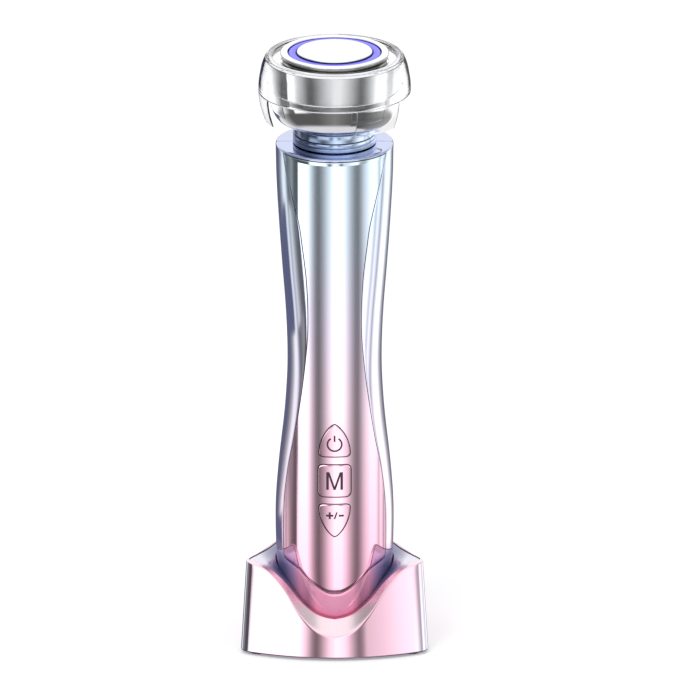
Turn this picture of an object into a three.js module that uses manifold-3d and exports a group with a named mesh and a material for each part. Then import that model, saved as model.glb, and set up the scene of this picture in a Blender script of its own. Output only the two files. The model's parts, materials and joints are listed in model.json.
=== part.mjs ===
// A face and neck massager standing in its charging cradle: a waisted wand with a chrome
// head, a ring of light, a clear pad ring that lifts off, and three press buttons.
// Millimetres, +Z up. The front, with the buttons, looks along -Y. The origin is on the
// table, under the middle of the cradle. An azimuth turns from the front towards +X.

import * as THREE from 'three';
import { mergeVertices } from 'three/addons/utils/BufferGeometryUtils.js';
import Module from 'manifold-3d';

const wasm = await Module();
wasm.setup();

// General fits
const gap = 0.3; // between pieces that touch, and round pieces that slide
const overrun = 2; // how far a cutting tool passes the face that it cuts
const screwHeadRadius = 2.0;
const screwHeadHeight = 1.4;
const screwRadius = 1.1;

// Wand, across
const wandHalfWidth = 19.6;
const waistHalfWidth = 15.6;
const frontRadius = 19.4; // the straight front that the panel follows

// Cradle, outside
const cradleHeight = 31.9; // top of the front corners
const wingReach = 11.6; // from the wand's side to the cradle's, at the table
const sideDraft = 1.9;
const cradleHalfWidth = wandHalfWidth + wingReach;
const cradleTopHalfWidth = cradleHalfWidth - sideDraft;
const frontReach = 4.6; // from the wand's front to the cradle's, at the table
const frontDraft = 1.7;
const cradleFront = frontRadius + frontReach;
const cradleTopFront = cradleFront - frontDraft;
const cornerBow = 9.3; // the corner's round is centred this far behind the middle of the front
const topCornerBow = 8.9;
const cradleCorner = cradleFront - cornerBow;
const cradleTopCorner = cradleTopFront - topCornerBow;
const backReach = 4.6;
const backDraft = 0.7;
const cradleBack = frontRadius + backReach;
const cradleTopBack = cradleBack - backDraft;
const cornerRound = 3.7;
const cornerDraft = 0.3;
const topCornerRound = cornerRound - cornerDraft;
const outerDip = 23.4; // how far the front lip dips at the middle, on the outside
const dipFadeStart = -8; // the dip fades out behind this line
const dipFadeLength = 22;
const wingStart = -14; // the top falls to the back behind this line
const wingFallShare = 0.125;

// Cradle, tray with the pocket for the wand
const sideRim = 1.3; // width of the cradle's rim round the tray, at the sides
const frontRim = 3.1;
const cornerRim = 1.5;
const backRim = 1.2;
const roundRim = 0.5;
const trayHalfWidth = cradleTopHalfWidth - sideRim;
const trayFront = cradleTopFront - frontRim;
const trayCorner = cradleTopCorner - cornerRim;
const trayBack = cradleTopBack - backRim;
const trayRound = topCornerRound - roundRim;
const innerDip = 18.8;
const dipInset = 0.5; // the lip has stopped dipping this far inside the tray's side
const dipHalfWidth = trayHalfWidth - dipInset;
const trayEdge = 1.8; // thickness of the tray's edge
const trayWall = 1.5;
const trayFloor = 1.4;
const pocketGap = 0.6; // round the wand
const lipRise = 0.3; // the lip stands this far above the tray's edge
const ledgeWidth = 1.8; // inner ledge at the corners, which carries the tray
const ledgeDrop = 0.8; // extra room over the ledge, where the tray slopes down

// Cradle, below
const footStand = 0.8; // the feet hold the cradle this far off the table
const footRadius = 3.6;
const footDepth = 1.5;
const footSideInset = 6.0;
const footFrontInset = 9.9;
const footBackAzimuth = 148;
const footBackReach = 18.2;
const plateFlange = 1.2;
const plateStep = 1.0;
const plateInset = 0.5; // the plate's flange is this much smaller than the cradle
const baseBoardThickness = 1.0;
const baseBoardHalfWidth = 7.2;
const baseBoardFront = 8;
const baseBoardInset = 3.4;
const baseBoardBack = cradleBack - baseBoardInset;
const boardToFloor = 1.0;
const weightThickness = 3.0;
const weightInset = 4.2;
const weightHoleRadius = 16.8;
const bossRadius = 2.5;
const bossSideInset = 9.6;
const bossFrontInset = 16.1;
const bossBackInset = 4.6;
const frontBossX = cradleHalfWidth - bossSideInset;
const frontBossY = -(cradleFront - bossFrontInset);
const backBossAzimuth = 126;
const backBossReach = cradleBack - bossBackInset;
const bossScrewLength = 5;
const inletHalfWidth = 4.5;
const inletHeight = 3.2;
const inletDepth = 6.2;
const inletWall = 0.5;
const inletTongue = 0.7;
const contactSpread = 4.0; // from the axis to each charging contact
const pinRadius = 0.7;
const barrelRadius = 1.3;
const pinTravel = 0.6;

// Wand
const wandLength = 167; // from its bottom to its flat shoulder
const backDepthShare = 0.5; // the back's depth lies this far from the waist to the front radius
const wandWall = 2.6;
const bottomCurve = 25; // height over which the bottom rounds in
const bottomShare = 0.65; // what is left of the width at the very bottom
const bottomPower = 2.2;
const shoulderEdge = 0.7;
const panelAzimuth = 60.6; // half the panel's widest spread
const panelThickness = 1.2;
const panelBottom = 15.2; // from the wand's bottom to the panel's lowest edge
const panelBottomRise = 9.6;
const panelTopInset = 1.0;
const capRadius = 10.6;
const capFlangeWidth = 1.6;
const capFlangeRadius = capRadius + capFlangeWidth;
const capFlangeThickness = 1.2;
const padRadius = 1.8;
const padThickness = 1.0;

// Buttons and their switches
const buttonProud = 0.15;
const buttonGap = 0.35;
const buttonTravel = 0.5;
const buttonHeight = 11.2;
const buttonHalfWidth = 5.4;
const modeHalfWidth = 5.6;
const powerCentre = 69.5; // each centre's height over the wand's bottom
const modeCentre = 55.35;
const levelCentre = 41.4;
const buttonRound = 1.9;
const buttonTipRound = 3.4;
const buttonFlange = 0.9;
const buttonFlangeThickness = 1.0;
const stemRadius = 1.5;
const switchHalf = 3.0;
const switchHeight = 2.4;
const plungerRadius = 1.3;
const plungerSink = 1.2;
const plungerRise = 0.9;

// Inside the wand
const frameFront = -3.0;
const frameThickness = 2.0;
const frameHalfWidth = 10.2;
const frameStart = 8; // over the wand's bottom
const headRoom = 30; // from the frame's upper end to the shoulder
const frameEnd = wandLength - headRoom;
const boardFront = -8.6;
const boardThickness = 1.2;
const boardHalfWidth = 8.4;
const boardStart = 14;
const boardEnd = 83;
const postRadius = 1.5;
const postX = 6.2;
const postInset = 5;
const lowScrewX = 6.0;
const screwRise = 5; // the lower screws over the board's lower posts
const lowScrewHeight = boardStart + postInset + screwRise;
const highScrewX = 8.2;
const screwInset = 3.0;
const frameScrewLength = 9;
const frameBossRadius = 2.4;
const cellRadius = 7.0;
const cellStart = 81;
const cellClearance = 0.6; // to the upper screws' bosses
const cellEnd = frameEnd - screwInset - frameBossRadius - cellClearance;
const cellLength = cellEnd - cellStart;
const railThickness = 1.2;
const railDepth = 5;
const motorRadius = 4.0;
const motorLength = 13;
const motorRise = 3; // over the frame's upper end
const motorStart = frameEnd + motorRise;
const sleeveThickness = 1.3;
const clampWall = 1.4;
const clampLength = 9;
const shaftRadius = 0.7;
const shaftLength = 9;
const shaftSink = 2;
const weightRadius = 4.6;
const rotorThickness = 5;
const shelfThickness = 2;
const leadRadius = 0.8;
const leadOffset = 6.0;
const leadSide = 10.6;
const leadFront = -5.2;

// Neck
const collarRadius = 13.7;
const collarHeight = 2.7;
const collarBore = 8.0;
const spigotRadius = 10.2;
const spigotClearance = 0.4;
const shoulderHoleRadius = spigotRadius + spigotClearance;
const spigotLength = 4;
const collarGroove = 0.5;
const neckRingInset = 0.5; // from the collar's side
const neckRingRadius = collarRadius - neckRingInset;
const neckRingHeight = 3.8;
const neckStep = 0.9;
const neckStepHeight = 1.1;
const sealDepth = 0.9;
const sealRadius = 12.1;
const sealWidth = 1.2;

// Head
const drumRadius = 16.8;
const bowlShelf = 5.2; // the bowl's widest level outside the drum
const bowlOverhang = 1.0; // the bowl's foot outside the neck ring
const bowlRadius = drumRadius + bowlShelf;
const bowlFootRadius = neckRingRadius + bowlOverhang;
const bowlHeight = 10.0;
const bowlWidest = 7.6; // from the bowl's foot to its widest level
const bowlWall = 1.6;
const drumHeight = 10.2;
const drumWall = 1.5; // an inner drum hangs from the bowl's top and carries the light board
const boardLedge = 1.7;
const boardDrop = 4.2; // from the drum's top down to the light board's ledge
const lightBoardThickness = 1.0;
const faceOverhang = 1.0; // the face outside the drum
const faceRadius = drumRadius + faceOverhang;
const topStep = 2.3; // the bowl's flat top outside the face
const topRadius = faceRadius + topStep;
const faceHeight = 3.1;
const faceRound = 0.9;
const faceSpigot = 1.6;
const faceSpigotWall = 0.8;
const faceLedge = 0.6; // inside the rim, under the light ring
const faceRimWidth = 2.8;
const lightWidth = 2.3;
const lightOuterRadius = faceRadius - faceRimWidth;
const lightInnerRadius = lightOuterRadius - lightWidth;
const lightDrop = 0.35; // the light ring lies this far below the face
const lightDepth = 4.0;
const discRise = 0.45; // the disc stands this far above the face
const discThickness = 1.8;
const discBevel = 0.5;
const discPostRadius = 3.0;
const ledHalf = 0.9;
const ledHeight = 0.9;

// Clear pad ring
const ringStand = 2.9; // the ring's outside over the bowl's widest level
const ringRadius = bowlRadius + ringStand;
const lipWidth = 1.9;
const lipClearance = 2.6; // between the face and the ring's lip
const ringTopRadius = faceRadius + lipClearance + lipWidth;
const ringTopDrop = 1.2; // from the face down to the ring's top
const ringWall = 1.5;
const seatLap = 0.8; // the reach of the seat under the ring's lip over the bowl's top
const seatThickness = 0.9;
const tabDrop = 9.2; // how far the tabs reach below the ring
const tabWall = 1.0;
const tabTipRadius = bowlRadius + gap + tabWall;
const tabTurn = 37.5; // azimuth of the first tab's middle
const tabSpread = 41;

// Counts
const frontSteps = 8;
const sideSteps = 4;
const backSteps = 8;
const roundSteps = 32;
const ringSteps = 36; // a multiple of the tabs
const trimSteps = 72; // on the bar that trims the button caps
const smallSteps = 12;
const leadSteps = 16;
const cornerSteps = 4;
const settleSteps = 32; // rounds of the searches that settle on a height or an azimuth
const frontArcSteps = 10;
const cradleBackSteps = 12;
const feetAndScrews = 4;
const tabCount = 3;
const ledCount = 4;

// Tables of shares, chosen by hand from the photograph.
// Wand's half width: height share, then share from the waist (0) to the full width (1)
const widthShares = [
  [0, 0.9], [0.13, 0.96], [0.24, 1], [0.33, 0.74], [0.44, 0.24], [0.52, 0.02],
  [0.58, 0], [0.66, 0.14], [0.75, 0.42], [0.85, 0.7], [0.93, 0.87], [1, 0.93],
];
// Panel's spread: height share, then share of its widest azimuth
const panelShares = [
  [0, 0.9], [0.146, 0.98], [0.203, 1], [0.272, 0.97], [0.346, 0.858], [0.404, 0.728],
  [0.481, 0.6], [0.562, 0.5], [0.645, 0.44], [0.741, 0.462], [0.819, 0.546],
  [0.86, 0.606], [0.924, 0.769], [1, 1],
];
// Panel's lower edge: share of its spread, then share of its rise
const panelBottomShares = [[0, 0], [0.12, 0.03], [0.3, 0.235], [0.49, 0.57], [0.65, 0.8], [1, 1]];
// Dip of the cradle's lip: share of its half width, then share of its depth
const dipShares = [[0, 1], [0.12, 0.965], [0.25, 0.88], [0.42, 0.655], [0.62, 0.295], [0.82, 0.068], [1, 0]];
// Heights of the rows of the wand's surface, as shares of the wand's length
const rowShares = [
  0, 0.01, 0.03, 0.06, 0.1, 0.15, 0.22, 0.3, 0.37, 0.44, 0.51, 0.59, 0.67, 0.75, 0.83, 0.91,
];
const innerRowShares = [0, 0.06, 0.14, 0.25, 0.37, 0.49, 0.62, 0.75, 0.88, 1];
// Pocket wall's rows, as shares of its height
const pocketShares = [0.06, 0.22, 0.45, 0.72, 1];
// Clear ring's outside: height share of its body, then share from the top to the widest radius
const ringShares = [[0, 1], [0.12, 1], [0.3, 0.94], [0.52, 0.77], [0.72, 0.58], [0.88, 0.3], [1, 0]];
const bowlShares = [0.1, 0.28, 0.5, 0.75];
const bowlPower = 2.2;
// Bowl over its widest level: height share, then share from the flat top to the widest radius
const crownShares = [[0.3, 1], [0.55, 0.93], [0.75, 0.77], [0.9, 0.47], [1, 0]];

// Heights that follow from the sizes
const plateTop = footStand + plateFlange + plateStep;
const shellStart = footStand + plateFlange + gap;
const baseBoardLow = plateTop + gap;
const baseBoardTop = baseBoardLow + baseBoardThickness;
const floorUnder = baseBoardTop + boardToFloor;
const pocketFloor = floorUnder + trayFloor;
const wandBottom = pocketFloor + gap;
const shoulder = wandBottom + wandLength;
const collarBase = shoulder + gap;
const neckRingBase = collarBase + collarHeight + gap;
const bowlBase = neckRingBase + neckRingHeight + gap;
const bowlRim = bowlBase + bowlHeight;
const drumTop = bowlRim + drumHeight;
const faceBase = drumTop + gap;
const faceTop = faceBase + faceHeight;
const ringTop = faceTop - ringTopDrop;
const ringBase = bowlRim + gap;

// Turns degrees into radians.
const radians = THREE.MathUtils.degToRad;

// Reads a table of shares at a place, with a smooth curve through its rows.
function smoothShare(table, place) {
  let row = 0;
  while (row < table.length - 2 && place > table[row + 1][0]) row += 1;
  const slope = (i) => {
    const low = table[Math.max(i - 1, 0)];
    const high = table[Math.min(i + 1, table.length - 1)];
    return (high[1] - low[1]) / (high[0] - low[0]);
  };
  const [start, end] = [table[row], table[row + 1]];
  const span = end[0] - start[0];
  const t = THREE.MathUtils.clamp((place - start[0]) / span, 0, 1);
  const [t2, t3] = [t * t, t * t * t];
  return start[1] * (2 * t3 - 3 * t2 + 1) + slope(row) * span * (t3 - 2 * t2 + t)
    + end[1] * (3 * t2 - 2 * t3) + slope(row + 1) * span * (t3 - t2);
}

// Solids and booleans

// Makes a geometry from points and triangles, with its faces pointing out.
function closedGeometry(points, triangles) {
  let volume = 0;
  const [a, b, c] = [new THREE.Vector3(), new THREE.Vector3(), new THREE.Vector3()];
  for (const [i, j, k] of triangles) {
    volume += a.fromArray(points[i]).dot(b.fromArray(points[j]).cross(c.fromArray(points[k])));
  }
  const faces = volume < 0 ? triangles.map(([i, j, k]) => [i, k, j]) : triangles;
  const geometry = new THREE.BufferGeometry();
  geometry.setAttribute('position', new THREE.Float32BufferAttribute(points.flat(), 3));
  geometry.setIndex(faces.flat());
  return geometry;
}

// Merges shared points and turns the faces of a closed geometry out.
function welded(source) {
  const geometry = source.clone();
  geometry.deleteAttribute('normal');
  geometry.deleteAttribute('uv');
  const merged = mergeVertices(geometry);
  const place = merged.getAttribute('position');
  const points = Array.from({ length: place.count }, (_, i) => [place.getX(i), place.getY(i), place.getZ(i)]);
  const index = Array.from(merged.index.array);
  const triangles = [];
  for (let i = 0; i < index.length; i += 3) {
    const [p, q, r] = index.slice(i, i + 3);
    if (p !== q && q !== r && r !== p) triangles.push([p, q, r]);
  }
  return closedGeometry(points, triangles);
}

function solidOf(geometry) {
  const closed = welded(geometry);
  const mesh = new wasm.Mesh({
    numProp: 3,
    vertProperties: new Float32Array(closed.getAttribute('position').array),
    triVerts: new Uint32Array(closed.index.array),
  });
  return new wasm.Manifold(mesh);
}

function geometryOf(solid) {
  const mesh = solid.getMesh();
  const geometry = new THREE.BufferGeometry();
  geometry.setAttribute('position', new THREE.BufferAttribute(Float32Array.from(mesh.vertProperties), 3));
  geometry.setIndex(new THREE.BufferAttribute(Uint32Array.from(mesh.triVerts), 1));
  return geometry;
}

function cut(base, ...tools) {
  return geometryOf(tools.reduce((left, tool) => left.subtract(solidOf(tool)), solidOf(base)));
}

function join(base, ...added) {
  return geometryOf(added.reduce((left, more) => left.add(solidOf(more)), solidOf(base)));
}

function common(base, other) {
  return geometryOf(solidOf(base).intersect(solidOf(other)));
}

// A block between two values along each axis.
function block(xs, ys, zs) {
  const geometry = new THREE.BoxGeometry(xs[1] - xs[0], ys[1] - ys[0], zs[1] - zs[0]);
  return geometry.translate((xs[0] + xs[1]) / 2, (ys[0] + ys[1]) / 2, (zs[0] + zs[1]) / 2);
}

// A round bar along Z between two heights.
function barZ(radius, low, high, x = 0, y = 0, steps = smallSteps) {
  const geometry = new THREE.CylinderGeometry(radius, radius, high - low, steps).rotateX(Math.PI / 2);
  return geometry.translate(x, y, (low + high) / 2);
}

// A round bar along Y between two depths.
function barY(radius, front, back, x, z, steps = smallSteps) {
  const geometry = new THREE.CylinderGeometry(radius, radius, back - front, steps);
  return geometry.translate(x, (front + back) / 2, z);
}

// Turns a profile of [radius, height] points round the Z axis. A ring's profile closes on itself.
function turned(profile, steps = roundSteps) {
  const points = profile.map(([radius, height]) => new THREE.Vector2(radius, height));
  return welded(new THREE.LatheGeometry(points, steps).rotateX(Math.PI / 2));
}

function turnedRing(profile, steps = roundSteps) {
  return turned([...profile, profile[0]], steps);
}

// Joins rings of points into a closed skin. Its ends meet each other, or each closes on its middle.
function lofted(rings, endsMeet) {
  const count = rings[0].length;
  const points = rings.flat();
  const triangles = [];
  const last = endsMeet ? rings.length : rings.length - 1;
  for (let row = 0; row < last; row += 1) {
    const next = (row + 1) % rings.length;
    for (let i = 0; i < count; i += 1) {
      const j = (i + 1) % count;
      const [p, q, r, s] = [row * count + i, row * count + j, next * count + j, next * count + i];
      triangles.push([p, q, r], [p, r, s]);
    }
  }
  if (!endsMeet) {
    for (const [row, turn] of [[0, false], [rings.length - 1, true]]) {
      const middle = [0, 1, 2].map((axis) => rings[row].reduce((sum, p) => sum + p[axis], 0) / count);
      points.push(middle);
      for (let i = 0; i < count; i += 1) {
        const [p, q] = [row * count + i, row * count + ((i + 1) % count)];
        triangles.push(turn ? [p, q, points.length - 1] : [q, p, points.length - 1]);
      }
    }
  }
  return welded(closedGeometry(points, triangles));
}

// The place at an azimuth in degrees, a distance from the axis and a height
function polar(azimuth, reach, height) {
  return [reach * Math.sin(radians(azimuth)), -reach * Math.cos(radians(azimuth)), height];
}

// The wand's surface

function wandShare(height) {
  return THREE.MathUtils.clamp((height - wandBottom) / wandLength, 0, 1);
}

function halfWidthAt(height) {
  return waistHalfWidth + (wandHalfWidth - waistHalfWidth) * smoothShare(widthShares, wandShare(height));
}

function panelSpreadAt(height) {
  return panelAzimuth * smoothShare(panelShares, wandShare(height));
}

// How much of the width is left where the bottom rounds in
function bottomTaper(height) {
  const below = THREE.MathUtils.clamp((wandBottom + bottomCurve - height) / bottomCurve, 0, 1);
  return bottomShare + (1 - bottomShare) * Math.sqrt(1 - below ** bottomPower);
}

// Distance of the wand's surface from its axis. The front is a straight cylinder as far as
// the panel's edge, the sides follow the waist, and the back is a half ellipse.
function wandReach(azimuth, height) {
  const turn = radians(Math.abs(azimuth > 180 ? 360 - azimuth : azimuth));
  const edge = radians(panelSpreadAt(height));
  const width = halfWidthAt(height);
  const taper = bottomTaper(height);
  if (turn <= edge) return frontRadius * taper;
  const sideDepth = Math.cos(edge) / Math.sqrt(1 / frontRadius ** 2 - (Math.sin(edge) / width) ** 2);
  const backDepth = waistHalfWidth + (width - waistHalfWidth) * (1 - backDepthShare)
    + (frontRadius - waistHalfWidth) * backDepthShare;
  const depth = turn <= Math.PI / 2 ? sideDepth : backDepth;
  return taper / Math.hypot(Math.sin(turn) / width, Math.cos(turn) / depth);
}

// Azimuths round the wand at a height, with one on each edge of the panel
function wandAzimuths(height) {
  const edge = panelSpreadAt(height);
  const list = [];
  for (let i = 0; i < frontSteps; i += 1) list.push(-edge + (2 * edge * i) / frontSteps);
  for (let i = 0; i < sideSteps; i += 1) list.push(edge + ((90 - edge) * i) / sideSteps);
  for (let i = 0; i < backSteps; i += 1) list.push(90 + (180 * i) / backSteps);
  for (let i = 0; i < sideSteps; i += 1) list.push(-90 + ((90 - edge) * i) / sideSteps);
  return list;
}

// One ring of the wand's surface, drawn in by an inset
function wandRing(height, inset) {
  return wandAzimuths(height).map((azimuth) => {
    const turn = azimuth < 0 ? azimuth + 360 : azimuth;
    return polar(azimuth, wandReach(turn, height) - inset, height);
  });
}

function wandBody() {
  const rings = rowShares.map((share) => wandRing(wandBottom + share * wandLength, 0));
  rings.push(wandRing(shoulder - shoulderEdge, 0));
  const top = wandRing(shoulder - shoulderEdge, shoulderEdge);
  rings.push(top.map(([x, y]) => [x, y, shoulder]));
  return lofted(rings, false);
}

function wandHollow() {
  const low = wandBottom + wandWall;
  const span = wandLength - 2 * wandWall;
  return lofted(innerRowShares.map((share) => wandRing(low + share * span, wandWall)), false);
}

// A patch of the front between two distances from the axis, with the panel's outline.
// Its edges are drawn in by a distance, or let out where that is negative.
function panelPatch(inner, outer, drawnIn, rows, spreads) {
  const angle = THREE.MathUtils.radToDeg(drawnIn / frontRadius);
  const grid = [];
  for (let row = 0; row <= rows; row += 1) {
    const line = [];
    for (let column = 0; column <= spreads; column += 1) {
      const across = (2 * column) / spreads - 1;
      const low = wandBottom + panelBottom + drawnIn
        + panelBottomRise * smoothShare(panelBottomShares, Math.abs(across));
      const high = shoulder - panelTopInset - drawnIn;
      const height = low + ((high - low) * row) / rows;
      line.push([across * (panelSpreadAt(height) - angle), height]);
    }
    grid.push(line);
  }
  const edge = [];
  for (let column = 0; column < spreads; column += 1) edge.push([0, column]);
  for (let row = 0; row < rows; row += 1) edge.push([row, spreads]);
  for (let column = spreads; column > 0; column -= 1) edge.push([rows, column]);
  for (let row = rows; row > 0; row -= 1) edge.push([row, 0]);
  const points = [];
  const triangles = [];
  for (const offset of [outer, inner]) {
    for (const line of grid) {
      for (const [azimuth, height] of line) {
        points.push(polar(azimuth, frontRadius * bottomTaper(height) + offset, height));
      }
    }
  }
  const at = (row, column) => row * (spreads + 1) + column;
  const behind = points.length / 2;
  for (let row = 0; row < rows; row += 1) {
    for (let column = 0; column < spreads; column += 1) {
      const [p, q] = [at(row, column), at(row, column + 1)];
      const [r, s] = [at(row + 1, column + 1), at(row + 1, column)];
      triangles.push([p, q, r], [p, r, s]);
      triangles.push([behind + p, behind + r, behind + q], [behind + p, behind + s, behind + r]);
    }
  }
  for (let i = 0; i < edge.length; i += 1) {
    const p = at(...edge[i]);
    const q = at(...edge[(i + 1) % edge.length]);
    triangles.push([p, behind + p, q], [q, behind + p, behind + q]);
  }
  return closedGeometry(points, triangles);
}

// Button outlines, drawn in X and Z round their middle

// Rounds the corners of a polygon: each is its place, and how far from it the rounding starts.
function roundedShape(corners) {
  const shape = new THREE.Shape();
  corners.forEach((corner, i) => {
    const before = corners[(i + corners.length - 1) % corners.length];
    const after = corners[(i + 1) % corners.length];
    const towards = (other) => {
      const reach = Math.hypot(other[0] - corner[0], other[1] - corner[1]);
      return [0, 1].map((axis) => corner[axis] + ((other[axis] - corner[axis]) * corner[2]) / reach);
    };
    const [start, end] = [towards(before), towards(after)];
    if (i === 0) shape.moveTo(...start);
    else shape.lineTo(...start);
    shape.quadraticCurveTo(corner[0], corner[1], ...end);
  });
  return shape;
}

// The corners of a triangle that points up (1) or down (-1), let out by a distance
function triangleCorners(grow, up) {
  const half = buttonHalfWidth + buttonRound / 4 + grow * Math.sqrt(3);
  const base = -buttonHeight / 2 - grow;
  const tip = buttonHeight / 2 + buttonTipRound / 2 + grow * 2;
  const round = buttonRound + grow;
  return [[-half, base * up, round], [half, base * up, round], [0, tip * up, buttonTipRound + grow]];
}

function squareCorners(grow) {
  const [half, top, round] = [modeHalfWidth + grow, buttonHeight / 2 + grow, buttonRound + grow];
  return [[-half, -top, round], [half, -top, round], [half, top, round], [-half, top, round]];
}

const buttons = [
  { name: 'power', centre: powerCentre, corners: (grow) => triangleCorners(grow, 1) },
  { name: 'mode', centre: modeCentre, corners: squareCorners },
  { name: 'level', centre: levelCentre, corners: (grow) => triangleCorners(grow, -1) },
];

// A button's outline let out by a distance, between two depths along Y
function buttonPrism(button, grow, front, back) {
  const shape = roundedShape(button.corners(grow));
  const depth = back - front;
  const prism = new THREE.ExtrudeGeometry(shape, { depth, bevelEnabled: false, curveSegments: cornerSteps });
  return prism.rotateX(Math.PI / 2).translate(0, back, wandBottom + button.centre);
}

function buttonHoles() {
  const front = -frontRadius - overrun;
  return buttons.map((button) => buttonPrism(button, buttonGap, front, -frontRadius + wandWall + overrun));
}

// Pieces of the wand

const frameBack = frameFront + frameThickness;
const frameLow = wandBottom + frameStart;
const frameHigh = wandBottom + frameEnd;
const frameScrews = [
  [-lowScrewX, wandBottom + lowScrewHeight], [lowScrewX, wandBottom + lowScrewHeight],
  [-highScrewX, frameHigh - screwInset], [highScrewX, frameHigh - screwInset],
];

// Depth of the middle of the back shell's wall behind a place on the frame
function backWallMiddle(x, height) {
  let azimuth = 180;
  for (let step = 0; step < settleSteps; step += 1) {
    azimuth = 180 - THREE.MathUtils.radToDeg(Math.asin(Math.abs(x) / wandReach(azimuth, height)));
  }
  return -wandReach(azimuth, height) * Math.cos(radians(azimuth)) - wandWall / 2;
}

const clearOfWand = 2 * wandHalfWidth;

function halfBox(front, back) {
  return block([-clearOfWand, clearOfWand], [front, back], [wandBottom - overrun, shoulder + overrun]);
}

function wandSkin() {
  const [neckLow, bottomHigh] = [shoulder - wandWall - overrun, wandBottom + wandWall + overrun];
  const neckHole = barZ(shoulderHoleRadius, neckLow, shoulder + overrun, 0, 0, roundSteps);
  const bottomHole = barZ(capRadius + gap, wandBottom - overrun, bottomHigh, 0, 0, roundSteps);
  return cut(wandBody(), wandHollow(), neckHole, bottomHole);
}

const skin = wandSkin();

function frontShell() {
  const half = common(skin, halfBox(-clearOfWand, -gap / 2));
  const recess = panelPatch(-panelThickness - gap, overrun, -gap, rowShares.length, frontSteps);
  return cut(half, recess, ...buttonHoles());
}

function backShell() {
  const half = common(skin, halfBox(gap / 2, clearOfWand));
  const bosses = frameScrews.map(([x, z]) => (
    barY(frameBossRadius, frameBack + gap, backWallMiddle(x, z), x, z)));
  const holes = frameScrews.map(([x, z]) => (
    barY(screwRadius + gap, frameBack - overrun, frameBack + frameScrewLength, x, z)));
  return cut(join(half, ...bosses), ...holes);
}

function frontPanel() {
  return cut(panelPatch(-panelThickness, 0, 0, rowShares.length, frontSteps), ...buttonHoles());
}

const cappedFlange = wandBottom + wandWall + gap;

function bottomCap() {
  const plate = turned([
    [0, wandBottom], [capRadius, wandBottom], [capRadius, cappedFlange], [capFlangeRadius, cappedFlange],
    [capFlangeRadius, cappedFlange + capFlangeThickness], [0, cappedFlange + capFlangeThickness],
  ], roundSteps);
  const wells = [-1, 1].map((way) => (
    barZ(padRadius + gap, wandBottom - overrun, wandBottom + padThickness + gap, way * contactSpread)));
  return cut(plate, ...wells);
}

function chargingPad(way) {
  return barZ(padRadius, wandBottom, wandBottom + padThickness, way * contactSpread);
}

// Buttons: a cap that follows the panel, a flange behind the shell and a stem to the switch
const flangeFront = -frontRadius + wandWall + 2 * gap + buttonTravel * 2;
const switchFront = boardFront - gap - switchHeight;
const plungerTip = switchFront - plungerRise;
const stemEnd = plungerTip - gap;

function pressButton(button) {
  const height = wandBottom + button.centre;
  const outside = wandBodyOffset(buttonProud);
  const cap = common(buttonPrism(button, 0, -frontRadius - overrun, flangeFront + gap), outside);
  const flange = buttonPrism(button, buttonFlange, flangeFront, flangeFront + buttonFlangeThickness);
  const stem = barY(stemRadius, flangeFront, stemEnd, 0, height);
  return join(cap, flange, stem);
}

// The straight front, let out by a distance, as a bar that trims the button caps
function wandBodyOffset(proud) {
  return barZ(frontRadius + proud, wandBottom, shoulder, 0, 0, trimSteps);
}

function switchHousing(button) {
  const z = wandBottom + button.centre;
  const [low, high] = [z - switchHalf, z + switchHalf];
  const housing = block([-switchHalf, switchHalf], [switchFront, boardFront - gap], [low, high]);
  const boreEnd = switchFront + plungerSink + gap + buttonTravel;
  return cut(housing, barY(plungerRadius + gap, switchFront - overrun, boreEnd, 0, z));
}

function switchPlunger(button) {
  return barY(plungerRadius, plungerTip, switchFront + plungerSink, 0, wandBottom + button.centre);
}

// Inner frame: a spine with posts for the board, rails for the cell and a clamp for the motor
const motorLow = wandBottom + motorStart;
const clampLow = motorLow + gap;
const clampHigh = clampLow + clampLength;
const sleeveRadius = motorRadius + gap + sleeveThickness;
const clampRadius = sleeveRadius + gap + clampWall;
const cellLow = wandBottom + cellStart;
const cellY = frameBack + gap + cellRadius;
const boardLow = wandBottom + boardStart;
const boardHigh = wandBottom + boardEnd;
const posts = [-1, 1].flatMap((way) => [
  [way * postX, boardLow + postInset], [way * postX, boardHigh - postInset],
]);

function innerFrame() {
  const spine = block([-frameHalfWidth, frameHalfWidth], [frameFront, frameBack], [frameLow, frameHigh]);
  const postFront = boardFront + boardThickness + gap;
  const boardPosts = posts.map(([x, z]) => barY(postRadius, postFront, frameBack, x, z));
  const rails = [-1, 1].map((way) => {
    const [near, far] = [way * (cellRadius + gap), way * (cellRadius + gap + railThickness)];
    return block([Math.min(near, far), Math.max(near, far)], [frameFront, cellY + railDepth / 2],
      [cellLow + railDepth, cellLow + cellLength - railDepth]);
  });
  const shelfHigh = frameHigh + shelfThickness;
  const shelf = block([-clampRadius, clampRadius], [frameFront, clampRadius], [frameHigh - gap, shelfHigh]);
  const clamp = barZ(clampRadius, frameHigh, clampHigh, 0, 0, roundSteps);
  const bore = barZ(sleeveRadius + gap, shelfHigh, clampHigh + overrun, 0, 0, roundSteps);
  const holes = frameScrews.map(([x, z]) => (
    barY(screwRadius + gap, frameFront - overrun, frameBack + overrun, x, z)));
  return cut(join(spine, ...boardPosts, ...rails, shelf, clamp), bore, ...holes);
}

function frameScrew([x, z]) {
  const seat = frameFront - gap;
  const head = barY(screwHeadRadius, seat - screwHeadHeight, seat, x, z);
  const thread = barY(screwRadius, seat - screwHeadHeight / 2, frameBack + frameScrewLength - gap, x, z);
  return join(head, thread);
}

function mainBoard() {
  const behind = boardFront + boardThickness;
  return block([-boardHalfWidth, boardHalfWidth], [boardFront, behind], [boardLow, boardHigh]);
}

function cell() {
  return barZ(cellRadius, cellLow, cellLow + cellLength, 0, cellY, roundSteps);
}

const motorFoot = frameHigh + shelfThickness + gap;
const motorTop = motorFoot + motorLength;
const shaftTop = motorTop + shaftLength;

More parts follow.
